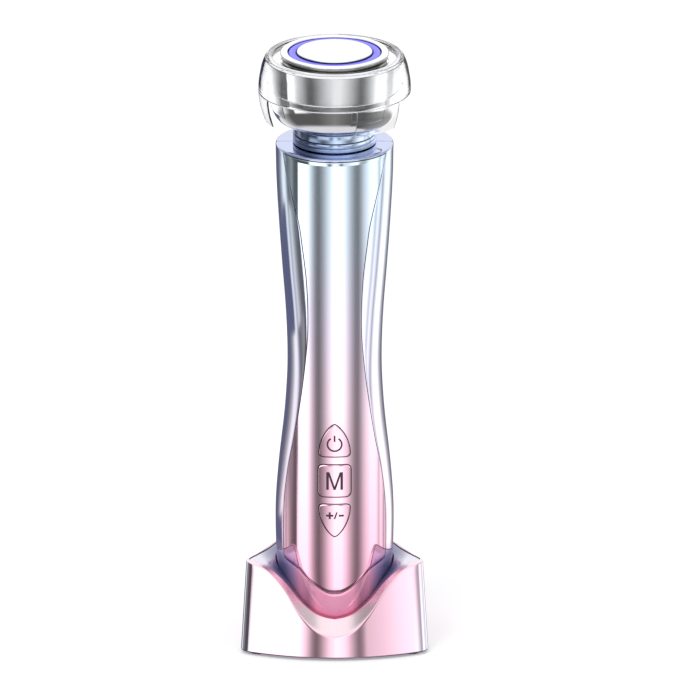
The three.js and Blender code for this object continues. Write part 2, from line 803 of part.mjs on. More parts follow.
function motorSleeve() {
  const [low, high] = [motorFoot, clampHigh];
  const [inner, outer] = [motorRadius + gap, sleeveRadius];
  return turnedRing([[inner, low], [outer, low], [outer, high], [inner, high]], smallSteps);
}

function motorCan() {
  const can = barZ(motorRadius, motorFoot, motorTop);
  return cut(can, barZ(shaftRadius + gap, motorTop - shaftSink - gap, motorTop + overrun));
}

function motorShaft() {
  return barZ(shaftRadius, motorTop - shaftSink, shaftTop);
}

function eccentricWeight() {
  const disc = barZ(weightRadius, shaftTop - rotorThickness - gap, shaftTop - gap, 0, 0, roundSteps);
  const reach = 2 * weightRadius;
  const away = block([-reach, reach], [shaftRadius + gap * 2, reach], [motorTop, shaftTop + overrun]);
  return cut(disc, away, barZ(shaftRadius + gap, motorTop, shaftTop + overrun));
}

// Lead from the main board, past the motor and through the neck, to the light board
const lightBoardLow = drumTop - boardDrop + gap;

function headLead() {
  const route = new THREE.CatmullRomCurve3([
    new THREE.Vector3(leadOffset, 0, lightBoardLow - gap),
    new THREE.Vector3(leadOffset, 0, shoulder),
    new THREE.Vector3(leadOffset, 0, shoulder - spigotLength),
    new THREE.Vector3(leadSide, leadFront, shoulder - 3 * spigotLength),
    new THREE.Vector3(leadSide, leadFront, frameHigh),
    new THREE.Vector3(leadOffset, boardFront + boardThickness / 2, boardHigh + spigotLength),
    new THREE.Vector3(leadOffset, boardFront + boardThickness / 2, boardHigh + gap),
  ], false, 'centripetal');
  const section = new THREE.Shape().absarc(0, 0, leadRadius, 0, 2 * Math.PI);
  const options = { steps: leadSteps, curveSegments: cornerSteps, extrudePath: route };
  return new THREE.ExtrudeGeometry(section, options);
}

// Neck

function neckCollar() {
  const low = collarBase - spigotLength;
  const top = collarBase + collarHeight;
  const middle = collarBase + collarHeight / 2;
  return turnedRing([
    [collarBore, low], [spigotRadius, low], [spigotRadius, collarBase], [collarRadius, collarBase],
    [collarRadius, middle - collarGroove / 2], [collarRadius - collarGroove, middle],
    [collarRadius, middle + collarGroove / 2], [collarRadius, top], [collarBore, top],
  ]);
}

function neckSeal() {
  const [low, high] = [shoulder - sealDepth, shoulder];
  const [inner, outer] = [sealRadius, sealRadius + sealWidth];
  return turnedRing([[inner, low], [outer, low], [outer, high], [inner, high]]);
}

function sealGroove() {
  const [inner, outer] = [sealRadius - gap, sealRadius + sealWidth + gap];
  const [low, high] = [shoulder - sealDepth - gap, shoulder + overrun];
  return turnedRing([[inner, low], [outer, low], [outer, high], [inner, high]]);
}

function neckRing() {
  const top = neckRingBase + neckRingHeight;
  const step = top - neckStepHeight;
  return turnedRing([
    [collarBore, neckRingBase], [neckRingRadius, neckRingBase], [neckRingRadius, step],
    [neckRingRadius - neckStep, step], [neckRingRadius - neckStep, top], [collarBore, top],
  ]);
}

// Head

// Outside of the bowl from its foot to its widest level
function bowlCurve(inset) {
  return bowlShares.map((share) => {
    const out = (1 - (1 - share) ** bowlPower) ** (1 / bowlPower);
    return [bowlFootRadius + (bowlRadius - bowlFootRadius) * out - inset, bowlBase + share * bowlWidest];
  });
}

function headCup() {
  const ledge = drumTop - boardDrop;
  const inside = drumRadius - drumWall;
  const bowlFloor = bowlBase + bowlWall;
  const crown = crownShares.map(([share, out]) => (
    [topRadius + (bowlRadius - topRadius) * out, bowlRim + share * drumHeight]));
  const roofUnder = drumTop - drumWall;
  return turnedRing([
    [collarBore, bowlBase], [bowlFootRadius, bowlBase], ...bowlCurve(0),
    [bowlRadius, bowlBase + bowlWidest], ...crown,
    [inside, drumTop], [inside, ledge], [inside - boardLedge, ledge], [inside - boardLedge, ledge - drumWall],
    [drumRadius, ledge - drumWall], [drumRadius, roofUnder], [topRadius - bowlWall, roofUnder],
    [bowlRadius - bowlWall, bowlRim], [bowlRadius - bowlWall, bowlBase + bowlWidest],
    ...bowlCurve(bowlWall).slice(1).reverse(), [bowlFootRadius, bowlFloor], [collarBore, bowlFloor],
  ]);
}

const spigotOuter = drumRadius - drumWall - gap;
const spigotInner = spigotOuter - faceSpigotWall;
const ledgeTop = faceBase + faceLedge;

function faceRim() {
  const inner = lightOuterRadius + gap;
  return turnedRing([
    [spigotInner, faceBase - faceSpigot], [spigotOuter, faceBase - faceSpigot], [spigotOuter, faceBase],
    [faceRadius, faceBase], [faceRadius, faceTop - faceRound], [faceRadius - faceRound, faceTop],
    [inner, faceTop], [inner, ledgeTop], [spigotInner, ledgeTop],
  ]);
}

function lightRing() {
  const top = faceTop - lightDrop;
  const [low, foot] = [top - lightDepth, spigotInner - gap];
  return turnedRing([
    [lightInnerRadius, low], [foot, low], [foot, ledgeTop + gap], [lightOuterRadius, ledgeTop + gap],
    [lightOuterRadius, top], [lightInnerRadius, top],
  ]);
}

const lightBoardTop = lightBoardLow + lightBoardThickness;

function centreDisc() {
  const radius = lightInnerRadius - gap;
  const top = faceTop + discRise;
  const under = top - discThickness - discBevel;
  return turned([
    [0, lightBoardTop + gap], [discPostRadius, lightBoardTop + gap], [discPostRadius, under],
    [radius, under], [radius, top - discBevel], [radius - discBevel, top], [0, top],
  ]);
}

function lightBoard() {
  return barZ(drumRadius - drumWall - gap, lightBoardLow, lightBoardTop, 0, 0, roundSteps);
}

function lamp(index) {
  const place = (lightOuterRadius + lightInnerRadius) / 2;
  const [x, y] = polar((360 * index) / ledCount, place, 0);
  return block([x - ledHalf, x + ledHalf], [y - ledHalf, y + ledHalf],
    [lightBoardTop + gap, lightBoardTop + gap + ledHeight]);
}

// Clear pad ring: a bulging wall with a lip above, a seat on the bowl below and three tabs

function clearRing() {
  const body = ringTop - ringBase;
  const outside = ringShares.map(([share, out]) => (
    [ringTopRadius + (ringRadius - ringTopRadius) * out, ringBase + share * body]));
  const inside = outside.map(([radius, height]) => [radius - ringWall, height]).reverse();
  const lipRadius = ringTopRadius - lipWidth;
  const seatRadius = topRadius - seatLap;
  const seatLow = drumTop + gap;
  const tip = ringBase - tabDrop;
  const profile = [
    [tabTipRadius - tabWall, tip], [tabTipRadius, tip], ...outside, [lipRadius, ringTop],
    [seatRadius, seatLow + seatThickness], [seatRadius, seatLow], ...inside.slice(1, -1),
    [ringRadius - ringWall - gap, ringBase],
  ];
  const pitch = 360 / tabCount;
  const gapTurn = pitch - tabSpread;
  const tools = [];
  for (let i = 0; i < tabCount; i += 1) {
    const start = tabTurn + tabSpread / 2 + i * pitch;
    const corners = [new THREE.Vector2(0, 0)];
    for (let k = 0; k <= cornerSteps; k += 1) {
      const [x, y] = polar(start + (gapTurn * k) / cornerSteps, 2 * ringRadius, 0);
      corners.push(new THREE.Vector2(x, y));
    }
    const depth = tabDrop + overrun;
    const wedge = new THREE.ExtrudeGeometry(new THREE.Shape(corners), { depth, bevelEnabled: false });
    tools.push(wedge.translate(0, 0, ringBase - depth));
  }
  return cut(turnedRing(profile, ringSteps), ...tools);
}

// Cradle

// Plan outline of the cradle or of its tray: a bowed front, two rounded corners and a round
// back, joined by straight sides that touch both curves.
function planOutline({ half, front, corner, back, round }) {
  const cx = half - round;
  const centreBack = (cx ** 2 + corner ** 2 - (front - round) ** 2) / (2 * (front - round - corner));
  const bow = centreBack + front;
  const frontEnd = Math.atan2(cx, centreBack + corner);
  const sideTurn = Math.PI - Math.asin((back - round) / Math.hypot(cx, corner)) - Math.atan2(corner, cx);
  const cornerPoint = (turn) => [cx + round * Math.sin(turn), -corner - round * Math.cos(turn)];
  const backPoint = (turn) => [back * Math.sin(turn), -back * Math.cos(turn)];
  const rightSide = [];
  for (let i = 1; i <= cornerSteps; i += 1) {
    rightSide.push(cornerPoint(frontEnd + ((sideTurn - frontEnd) * i) / cornerSteps));
  }
  const [start, end] = [cornerPoint(sideTurn), backPoint(sideTurn)];
  for (let i = 1; i < sideSteps; i += 1) {
    rightSide.push([0, 1].map((axis) => THREE.MathUtils.lerp(start[axis], end[axis], i / sideSteps)));
  }
  const list = [];
  for (let i = 0; i <= frontArcSteps; i += 1) {
    const turn = -frontEnd + (2 * frontEnd * i) / frontArcSteps;
    list.push([bow * Math.sin(turn), centreBack - bow * Math.cos(turn)]);
  }
  list.push(...rightSide);
  for (let i = 0; i <= cradleBackSteps; i += 1) {
    list.push(backPoint(sideTurn + ((2 * Math.PI - 2 * sideTurn) * i) / cradleBackSteps));
  }
  list.push(...rightSide.reverse().map(([x, y]) => [-x, y]));
  return list;
}

// The cradle's outline at a height, let out by a distance
function cradleOutline(height, grow = 0) {
  const t = height / cradleHeight;
  const mix = (low, high) => THREE.MathUtils.lerp(low, high, t);
  return planOutline({
    half: mix(cradleHalfWidth, cradleTopHalfWidth) + grow,
    front: mix(cradleFront, cradleTopFront) + grow,
    corner: mix(cradleCorner, cradleTopCorner),
    back: mix(cradleBack, cradleTopBack) + grow,
    round: mix(cornerRound, topCornerRound) + grow,
  });
}

function trayOutline(grow, narrower = 0) {
  return planOutline({
    half: trayHalfWidth + grow - narrower, front: trayFront + grow, corner: trayCorner,
    back: trayBack + grow, round: trayRound + grow,
  });
}

// Height of the top at a place, for a dip of a given depth
function topHeight(x, y, dip) {
  const fall = wingFallShare * Math.max(y - wingStart, 0);
  const fade = 1 - THREE.MathUtils.smoothstep(y, dipFadeStart, dipFadeStart + dipFadeLength);
  const share = Math.min(Math.abs(x) / dipHalfWidth, 1);
  return cradleHeight - fall - dip * smoothShare(dipShares, share) * fade;
}

const inletLow = baseBoardTop + gap;
const bossPlaces = [
  [-frontBossX, frontBossY], [frontBossX, frontBossY],
  ...[-1, 1].map((way) => polar(way * backBossAzimuth, backBossReach, 0).slice(0, 2)),
];

function cradleShell() {
  const [foot, top] = [cradleOutline(0), cradleOutline(cradleHeight)];
  const at = (i, height) => [0, 1].map((axis) => (
    THREE.MathUtils.lerp(foot[i][axis], top[i][axis], height / cradleHeight)));
  const rimHeight = top.map(([x, y]) => topHeight(x, y, outerDip));
  const inner = trayOutline(gap);
  const narrow = trayOutline(gap, ledgeWidth);
  const edge = inner.map(([x, y]) => topHeight(x, y, innerDip));
  const step = edge.map((height) => height - trayEdge - gap - ledgeDrop);
  const rings = [
    foot.map((_, i) => [...at(i, shellStart), shellStart]),
    foot.map((_, i) => [...at(i, rimHeight[i]), rimHeight[i]]),
    inner.map(([x, y], i) => [x, y, edge[i] + lipRise]),
    inner.map(([x, y], i) => [x, y, step[i]]),
    narrow.map(([x, y], i) => [x, y, step[i]]),
    narrow.map(([x, y]) => [x, y, shellStart]),
  ];
  const half = inletHalfWidth + gap;
  const mouth = block([-half, half], [trayBack - overrun, cradleBack + overrun],
    [inletLow - gap, inletLow + inletHeight + gap]);
  return cut(lofted(rings, true), mouth);
}

// Tray: a dipped top round a pocket that follows the wand's bottom
function cradleTray() {
  const outline = trayOutline(0);
  const azimuths = outline.map(([x, y]) => THREE.MathUtils.radToDeg(Math.atan2(x, -y)));
  const reachAt = (i, height, more) => wandReach((azimuths[i] + 360) % 360, height) + more;
  const mouth = azimuths.map((azimuth, i) => {
    let height = cradleHeight / 2;
    for (let step = 0; step < settleSteps; step += 1) {
      const [x, y] = polar(azimuth, reachAt(i, height, pocketGap), 0);
      height = (height + topHeight(x, y, innerDip)) / 2;
    }
    return height;
  });
  const wallRing = (share, low, drop, more) => azimuths.map((azimuth, i) => {
    const height = low + (mouth[i] - drop - low) * share;
    return polar(azimuth, reachAt(i, height + drop / 2, more), height);
  });
  const middle = (drop, more) => azimuths.map((azimuth, i) => {
    const near = reachAt(i, mouth[i], more);
    const reach = (near + Math.hypot(...outline[i])) / 2;
    const [x, y] = polar(azimuth, reach, 0);
    return [x, y, topHeight(x, y, innerDip) - drop];
  });
  const edge = outline.map(([x, y]) => topHeight(x, y, innerDip));
  const outerMore = pocketGap + trayWall;
  const rings = [
    azimuths.map((azimuth, i) => polar(azimuth, reachAt(i, wandBottom, pocketGap), pocketFloor)),
    ...pocketShares.map((share) => wallRing(share, pocketFloor, 0, pocketGap)),
    middle(0, pocketGap),
    outline.map(([x, y], i) => [x, y, edge[i]]),
    outline.map(([x, y], i) => [x, y, edge[i] - trayEdge]),
    middle(trayEdge, outerMore),
    ...[...pocketShares].reverse().map((share) => wallRing(share, floorUnder, trayEdge, outerMore)),
    azimuths.map((azimuth, i) => polar(azimuth, reachAt(i, wandBottom, pocketGap), floorUnder)),
  ];
  const tray = lofted(rings, false);
  const bosses = bossPlaces.map(([x, y], i) => {
    const top = i < 2 ? topHeight(x, y, innerDip) - trayEdge / 2 : pocketFloor + bossScrewLength;
    return barZ(bossRadius, plateTop + gap, top, x, y);
  });
  const pilots = bossPlaces.map(([x, y]) => (
    barZ(screwRadius + gap, plateTop - overrun, plateTop + bossScrewLength, x, y)));
  const pinHoles = [-1, 1].map((way) => (
    barZ(barrelRadius + gap, floorUnder - overrun, pocketFloor + overrun, way * contactSpread)));
  return cut(join(tray, ...bosses), ...pilots, ...pinHoles);
}

// A flat plate from an outline, between two heights
function flatPlate(outline, low, high) {
  const shape = new THREE.Shape(outline.map(([x, y]) => new THREE.Vector2(x, y)));
  return new THREE.ExtrudeGeometry(shape, { depth: high - low, bevelEnabled: false }).translate(0, 0, low);
}

const feetPlaces = [
  [-(cradleHalfWidth - footSideInset), -(cradleFront - footFrontInset)],
  [cradleHalfWidth - footSideInset, -(cradleFront - footFrontInset)],
  ...[-1, 1].map((way) => polar(way * footBackAzimuth, footBackReach, 0).slice(0, 2)),
];

const plateScrewSeat = footStand + screwHeadHeight;

function basePlate() {
  const flange = flatPlate(cradleOutline(footStand, -plateInset), footStand, footStand + plateFlange);
  const step = flatPlate(trayOutline(0, ledgeWidth), footStand + plateFlange / 2, plateTop);
  const wells = feetPlaces.map(([x, y]) => (
    barZ(footRadius + gap, footStand - overrun, footDepth + gap, x, y)));
  const holes = bossPlaces.flatMap(([x, y]) => [
    barZ(screwRadius + gap, footStand - overrun, plateTop + overrun, x, y),
    barZ(screwHeadRadius + gap, footStand - overrun, plateScrewSeat, x, y),
  ]);
  return cut(join(flange, step), ...wells, ...holes);
}

function baseScrew([x, y]) {
  const head = barZ(screwHeadRadius, footStand, plateScrewSeat - gap, x, y);
  const threadLow = plateScrewSeat - screwHeadHeight / 2;
  const thread = barZ(screwRadius, threadLow, plateTop + bossScrewLength - gap, x, y);
  return join(head, thread);
}

function rubberFoot([x, y]) {
  return barZ(footRadius, 0, footDepth, x, y);
}

function baseWeight() {
  const outline = planOutline({
    half: trayHalfWidth - ledgeWidth - weightInset, front: trayFront - gap, corner: trayCorner,
    back: trayBack - gap * 2, round: trayRound,
  });
  const [low, high] = [plateTop + gap, plateTop + gap + weightThickness];
  const [under, over] = [low - overrun, high + overrun];
  const hole = barZ(weightHoleRadius, under, over, 0, 0, roundSteps);
  const notches = bossPlaces.map(([x, y]) => barZ(bossRadius + gap, under, over, x, y));
  const end = polar(backBossAzimuth, backBossReach, 0)[1] - bossRadius - gap;
  const behind = block([-cradleHalfWidth, cradleHalfWidth], [end, cradleBack], [under, over]);
  return cut(flatPlate(outline, low, high), hole, ...notches, behind);
}

function baseBoard() {
  const half = baseBoardHalfWidth;
  return block([-half, half], [-baseBoardFront, baseBoardBack], [baseBoardLow, baseBoardTop]);
}

// Socket at the back: a flat box with its mouth to the back and a tongue inside
function chargingInlet() {
  const back = cradleBack - gap;
  const front = back - inletDepth;
  const [low, high] = [inletLow, inletLow + inletHeight];
  const body = block([-inletHalfWidth, inletHalfWidth], [front, back], [low, high]);
  const wide = inletHalfWidth - inletWall;
  const hollow = block([-wide, wide], [front + inletWall * 2, back + overrun],
    [low + inletWall, high - inletWall]);
  const half = inletHalfWidth - 3 * inletWall;
  const middle = (low + high) / 2;
  const tongue = block([-half, half], [front + inletWall, back - 2 * inletWall],
    [middle - inletTongue / 2, middle + inletTongue / 2]);
  return join(cut(body, hollow), tongue);
}

const pinTop = wandBottom - gap;
const barrelTop = pinTop - pinTravel - gap;

function pinBarrel(way) {
  const barrel = barZ(barrelRadius, baseBoardTop + gap, barrelTop, way * contactSpread);
  return cut(barrel, barZ(pinRadius + gap, baseBoardTop + 2 * gap, barrelTop + overrun, way * contactSpread));
}

function contactPin(way) {
  return barZ(pinRadius, baseBoardTop + 3 * gap + pinTravel, pinTop, way * contactSpread);
}

// Materials: colour, roughness and metalness
const finishes = {
  clearShell: ['#8f9cc8', 0.08, 0.3],
  panel: ['#cfc0cc', 0.16, 0.9],
  button: ['#d8b6c2', 0.18, 0.9],
  chrome: ['#c9cacc', 0.06, 1],
  steel: ['#b8babd', 0.3, 1],
  light: ['#7b78f5', 0.3, 0],
  clear: ['#e8eef2', 0.03, 0],
  lilac: ['#b9a8cc', 0.1, 0.4],
  pearl: ['#ecd3de', 0.14, 0.7],
  dark: ['#2b2c30', 0.5, 0],
  white: ['#e6e6e4', 0.5, 0],
  board: ['#2f6b45', 0.45, 0],
  rubber: ['#3a3a3c', 0.8, 0],
  gold: ['#c9a45a', 0.25, 1],
  blue: ['#4c6fae', 0.4, 0],
};

const model = new THREE.Group();
model.name = 'face_neck_massager';
const cradle = new THREE.Group();
const wand = new THREE.Group();
model.add(cradle, wand);

// Adds one named piece to a group.
function add(group, name, geometry, finish) {
  const [color, roughness, metalness] = finishes[finish];
  const material = new THREE.MeshStandardMaterial({ color, roughness, metalness });
  const mesh = new THREE.Mesh(geometry, material);
  mesh.name = name;
  group.add(mesh);
}

function addCradle() {
  add(cradle, 'cradle_shell', cradleShell(), 'pearl');
  add(cradle, 'cradle_tray', cradleTray(), 'lilac');
  add(cradle, 'base_plate', basePlate(), 'pearl');
  add(cradle, 'base_weight', baseWeight(), 'steel');
  add(cradle, 'base_board', baseBoard(), 'board');
  add(cradle, 'charging_inlet', chargingInlet(), 'steel');
  for (const [way, hand] of [[-1, 'left'], [1, 'right']]) {
    add(cradle, `pin_barrel_${hand}`, pinBarrel(way), 'gold');
    add(cradle, `contact_pin_${hand}`, contactPin(way), 'gold');
  }
  for (let i = 0; i < feetAndScrews; i += 1) {
    add(cradle, `rubber_foot_${i + 1}`, rubberFoot(feetPlaces[i]), 'rubber');
    add(cradle, `base_screw_${i + 1}`, baseScrew(bossPlaces[i]), 'steel');
  }
}

function addHandle() {
  add(wand, 'front_shell', cut(frontShell(), sealGroove()), 'clearShell');
  add(wand, 'back_shell', cut(backShell(), sealGroove()), 'clearShell');
  add(wand, 'front_panel', frontPanel(), 'panel');
  add(wand, 'bottom_cap', bottomCap(), 'white');
  add(wand, 'charging_pad_left', chargingPad(-1), 'gold');
  add(wand, 'charging_pad_right', chargingPad(1), 'gold');
  add(wand, 'inner_frame', innerFrame(), 'white');
  frameScrews.forEach((place, i) => add(wand, `frame_screw_${i + 1}`, frameScrew(place), 'steel'));
  add(wand, 'main_board', mainBoard(), 'board');
  for (const button of buttons) {
    add(wand, `${button.name}_button`, pressButton(button), 'button');
    add(wand, `${button.name}_switch`, switchHousing(button), 'dark');
    add(wand, `${button.name}_plunger`, switchPlunger(button), 'white');
  }
  add(wand, 'battery_cell', cell(), 'blue');
  add(wand, 'motor_sleeve', motorSleeve(), 'rubber');
  add(wand, 'vibration_motor', motorCan(), 'steel');
  add(wand, 'motor_shaft', motorShaft(), 'steel');
  add(wand, 'eccentric_weight', eccentricWeight(), 'steel');
  add(wand, 'head_lead', headLead(), 'dark');
}

function addHead() {
  add(wand, 'neck_seal', neckSeal(), 'rubber');
  add(wand, 'neck_collar', neckCollar(), 'clearShell');
  add(wand, 'neck_ring', neckRing(), 'clearShell');
  add(wand, 'head_cup', headCup(), 'chrome');
  add(wand, 'face_rim', faceRim(), 'chrome');
  add(wand, 'light_ring', lightRing(), 'light');
  add(wand, 'centre_disc', centreDisc(), 'chrome');
  add(wand, 'light_board', lightBoard(), 'board');
  for (let i = 0; i < ledCount; i += 1) add(wand, `lamp_${i + 1}`, lamp(i), 'white');
  add(wand, 'clear_ring', clearRing(), 'clear');
}

addCradle();
addHandle();
addHead();

export default model;
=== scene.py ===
"""A face and neck massager standing in its charging cradle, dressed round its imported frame.

Sizes are in millimetres until a mesh is made, and heights are over the table. The front looks
along -Y, and an azimuth turns from the front towards +X.
"""

import json
import math

import bmesh
import bpy
from mathutils import Matrix, Vector


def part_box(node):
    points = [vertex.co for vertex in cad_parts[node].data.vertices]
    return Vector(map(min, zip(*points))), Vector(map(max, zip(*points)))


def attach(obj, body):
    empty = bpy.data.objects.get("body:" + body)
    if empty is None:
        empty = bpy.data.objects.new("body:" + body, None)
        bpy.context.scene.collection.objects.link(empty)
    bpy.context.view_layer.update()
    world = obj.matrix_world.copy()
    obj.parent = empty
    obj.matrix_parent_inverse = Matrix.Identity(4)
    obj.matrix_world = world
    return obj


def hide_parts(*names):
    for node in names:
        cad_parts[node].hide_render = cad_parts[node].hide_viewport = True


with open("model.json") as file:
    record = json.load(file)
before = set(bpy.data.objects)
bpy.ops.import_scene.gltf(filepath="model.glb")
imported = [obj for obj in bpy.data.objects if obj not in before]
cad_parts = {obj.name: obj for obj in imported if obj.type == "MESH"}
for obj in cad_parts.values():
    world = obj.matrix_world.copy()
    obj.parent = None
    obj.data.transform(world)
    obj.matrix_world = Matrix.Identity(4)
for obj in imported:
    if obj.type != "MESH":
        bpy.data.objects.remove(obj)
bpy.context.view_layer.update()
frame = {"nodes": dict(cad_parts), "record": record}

MM = 0.001
WELD = 0.002

# Photograph
PHOTO_SIDE = 700
PHOTO_AXIS_X = 334.6
PHOTO_AIM_Y = 345.0
AIM_HEIGHT = 103.0
CAMERA_FRONT = 2600.0
CAMERA_HEIGHT = 1051.0
CAMERA_LENS = 431.0
SENSOR = 36.0

# Wand
GAP = 0.3
WAND_BOTTOM = 7.0
WAND_LENGTH = 167.0
SHOULDER = WAND_BOTTOM + WAND_LENGTH
WAND_HALF_WIDTH = 19.6
WAIST_HALF_WIDTH = 15.6
FRONT_RADIUS = 19.4
BACK_DEPTH_SHARE = 0.5
SHELL_WALL = 2.2
BOTTOM_CURVE = 25.0
BOTTOM_SHARE = 0.65
BOTTOM_POWER = 2.2
SHOULDER_EDGE = 0.7
SHOULDER_HOLE = 10.6
CAP_RADIUS = 10.6
PANEL_AZIMUTH = 60.6
PANEL_THICKNESS = 1.2
PANEL_BOTTOM = 15.2
PANEL_BOTTOM_RISE = 9.6
PANEL_TOP_INSET = 1.0

# Buttons
BUTTON_PROUD = 0.15
BUTTON_GAP = 0.32
BUTTON_DEPTH = 2.2
HOLE_REACH = 4.0
BUTTON_HEIGHT = 11.2
BUTTON_HALF_WIDTH = 5.2
MODE_HALF_WIDTH = 5.4
BUTTON_ROUND = 1.9
BUTTON_EDGE = 0.12
BUTTON_TIP_RISE = 0.1
BUTTON_FULL_POWER = 2.05
BUTTON_TIP_POWER = 0.75
POWER_HEIGHT = WAND_BOTTOM + 69.5
MODE_HEIGHT = WAND_BOTTOM + 55.35
LEVEL_HEIGHT = WAND_BOTTOM + 41.4

# Neck and head
COLLAR_RADIUS = 13.7
COLLAR_BASE = SHOULDER + GAP
COLLAR_HEIGHT = 2.7
COLLAR_BORE = 8.0
SPIGOT_RADIUS = 10.2
SPIGOT_LENGTH = 4.0
NECK_RING_RADIUS = 13.2
NECK_RING_BASE = COLLAR_BASE + COLLAR_HEIGHT + GAP
NECK_RING_HEIGHT = 3.8
NECK_STEP = 0.9
NECK_STEP_HEIGHT = 1.1
BOWL_BASE = NECK_RING_BASE + NECK_RING_HEIGHT + GAP
BOWL_RADIUS = 22.0
BOWL_FOOT_RADIUS = 14.2
BOWL_HEIGHT = 10.0
BOWL_WALL = 1.6
BOWL_CURVE = 11.9
BOWL_POWER = 3.2
BOWL_LEAN = 6.2
WALL_LEAN = 2.0
BOWL_RIM = BOWL_BASE + BOWL_HEIGHT
CROWN_START = 8.4
CROWN_LEANS = (0.0, 1.5)
CROWN_RISE = 0.8
CROWN_ROUND = 0.4
TOP_RADIUS = 20.1
DRUM_RADIUS = 16.8
DRUM_HEIGHT = 10.2
DRUM_WALL = 1.5
BOARD_LEDGE = 1.7
BOARD_DROP = 4.2
DRUM_TOP = BOWL_RIM + DRUM_HEIGHT
FACE_BASE = DRUM_TOP + GAP
FACE_RADIUS = 17.8
FACE_HEIGHT = 3.1
FACE_TOP = FACE_BASE + FACE_HEIGHT
FACE_LEDGE = 0.6
FACE_DRAFT = 0.7
LIGHT_OUTER = 15.0
LIGHT_INNER = 12.7
LIGHT_DROP = 0.35
LIGHT_DEPTH = 4.0
SPIGOT_OUTER = DRUM_RADIUS - DRUM_WALL - GAP
SPIGOT_INNER = SPIGOT_OUTER - 0.8
SPIGOT_DEPTH = 1.6
DISC_RISE = 0.45
DISC_DEPTH = 2.3
DISC_STEM = 3.0

# Clear pad ring
RING_RADIUS = 24.9
RING_TOP_RADIUS = 22.3
RING_TOP = FACE_TOP - 1.2
RING_BASE = BOWL_RIM + GAP
RING_WALL = 1.5
RING_TOP_WALL = 1.1
TAB_WALL = 0.6
RING_LIP = 1.9
LIP_THICKNESS = 0.8
TAB_DROP = 9.2
TAB_TIP_RADIUS = 22.95
TAB_TURN = 37.5
TAB_SPREAD = 41.0
TAB_COUNT = 3

# Cradle
CRADLE_HEIGHT = 31.9
# Plans: half width, depth in front, depth of the corners' centres, depth behind, radius of the corners
CRADLE_FOOT = (31.2, 24.0, 14.7, 24.0, 3.7)
CRADLE_TOP = (29.3, 22.3, 13.4, 23.3, 3.4)
TRAY_PLAN = (28.0, 19.2, 11.9, 22.1, 2.9)
WALL_STEPS = 16
BAND_STEPS = 8
SHELL_START = 2.3
SKIRT_LOW = 0.9
SKIRT_WALL = 0.35
SKIRT_ROUND = 0.3
OUTER_DIP = 23.4
INNER_DIP = 18.8
DIP_HALF_WIDTH = 27.5
DIP_FADE_START = -8.0
DIP_FADE_LENGTH = 22.0
WING_START = -14.0
WING_FALL_SHARE = 0.125
LIP_RISE = 0.3
LEDGE_WIDTH = 1.8
TRAY_EDGE = 1.8
TRAY_WALL = 1.5
POCKET_GAP = 0.38
POCKET_FLOOR = 6.7
TRAY_FLOOR = 1.4
CONTACT_SPREAD = 4.0
PIN_HOLE_RADIUS = 1.6
LIP_STEP = LIP_RISE + TRAY_EDGE + GAP + 0.8
RIM_ROUND = 0.45
LIP_ROUND = 0.3

# Tables of shares, as in the part itself
WIDTH_SHARES = [
    (0, 0.9), (0.13, 0.96), (0.24, 1), (0.33, 0.74), (0.44, 0.24), (0.52, 0.02),
    (0.58, 0), (0.66, 0.14), (0.75, 0.42), (0.85, 0.7), (0.93, 0.87), (1, 0.93),
]
PANEL_SHARES = [
    (0, 0.9), (0.146, 0.98), (0.203, 1), (0.272, 0.97), (0.346, 0.858), (0.404, 0.728),
    (0.481, 0.6), (0.562, 0.5), (0.645, 0.44), (0.741, 0.462), (0.819, 0.546),
    (0.86, 0.606), (0.924, 0.769), (1, 1),
]
PANEL_BOTTOM_SHARES = [(0, 0), (0.12, 0.03), (0.3, 0.235), (0.49, 0.57), (0.65, 0.8), (1, 1)]
DIP_SHARES = [(0, 1), (0.12, 0.965), (0.25, 0.88), (0.42, 0.655), (0.62, 0.295), (0.82, 0.068), (1, 0)]
RING_SHARES = [(0, 1), (0.12, 1), (0.3, 0.94), (0.52, 0.77), (0.72, 0.58), (0.88, 0.3), (1, 0)]

# Counts
TURN_STEPS = 128
PANEL_ROWS = 120
PANEL_COLUMNS = 150
CORNER_STEPS = 5


def clamp(value, low=0.0, high=1.0):
    return max(low, min(high, value))


def lerp(start, end, share):
    return start + (end - start) * share


def part_way(start, end, share):
    return tuple(lerp(a, b, share) for a, b in zip(start, end))


def corner_curve(start, corner, end, share):
    """A point on the curve that rounds a corner between two others."""
    return part_way(part_way(start, corner, share), part_way(corner, end, share), share)


def spaced(low, high, steps, power=1.0):
    """Values from low to high in even steps, or in growing ones."""
    return [lerp(low, high, (k / steps) ** power) for k in range(steps + 1)]


def quarter_turn(steps):
    """The sine of each angle of a quarter turn, and 1 less its cosine."""
    return [(math.sin(turn), 1 - math.cos(turn)) for turn in spaced(0, math.pi / 2, steps)[1:]]


def smoothstep(value, low, high):
    t = clamp((value - low) / (high - low))
    return t * t * (3 - 2 * t)


def smooth_share(table, place):
    """Reads a table of shares at a place, with a smooth curve through its rows."""
    row = 0
    while row < len(table) - 2 and place > table[row + 1][0]:
        row += 1

    def slope(i):
        low, high = table[max(i - 1, 0)], table[min(i + 1, len(table) - 1)]
        return (high[1] - low[1]) / (high[0] - low[0])

    start, end = table[row], table[row + 1]
    span = end[0] - start[0]
    t = clamp((place - start[0]) / span)
    t2, t3 = t * t, t * t * t
    return (start[1] * (2 * t3 - 3 * t2 + 1) + slope(row) * span * (t3 - 2 * t2 + t)
            + end[1] * (3 * t2 - 2 * t3) + slope(row + 1) * span * (t3 - t2))


def polar(azimuth, reach, height):
    turn = math.radians(azimuth)
    return (reach * math.sin(turn), -reach * math.cos(turn), height)


# Meshes


def new_object(name, data):
    made = bpy.data.objects.new(name, data)
    bpy.context.scene.collection.objects.link(made)
    return made


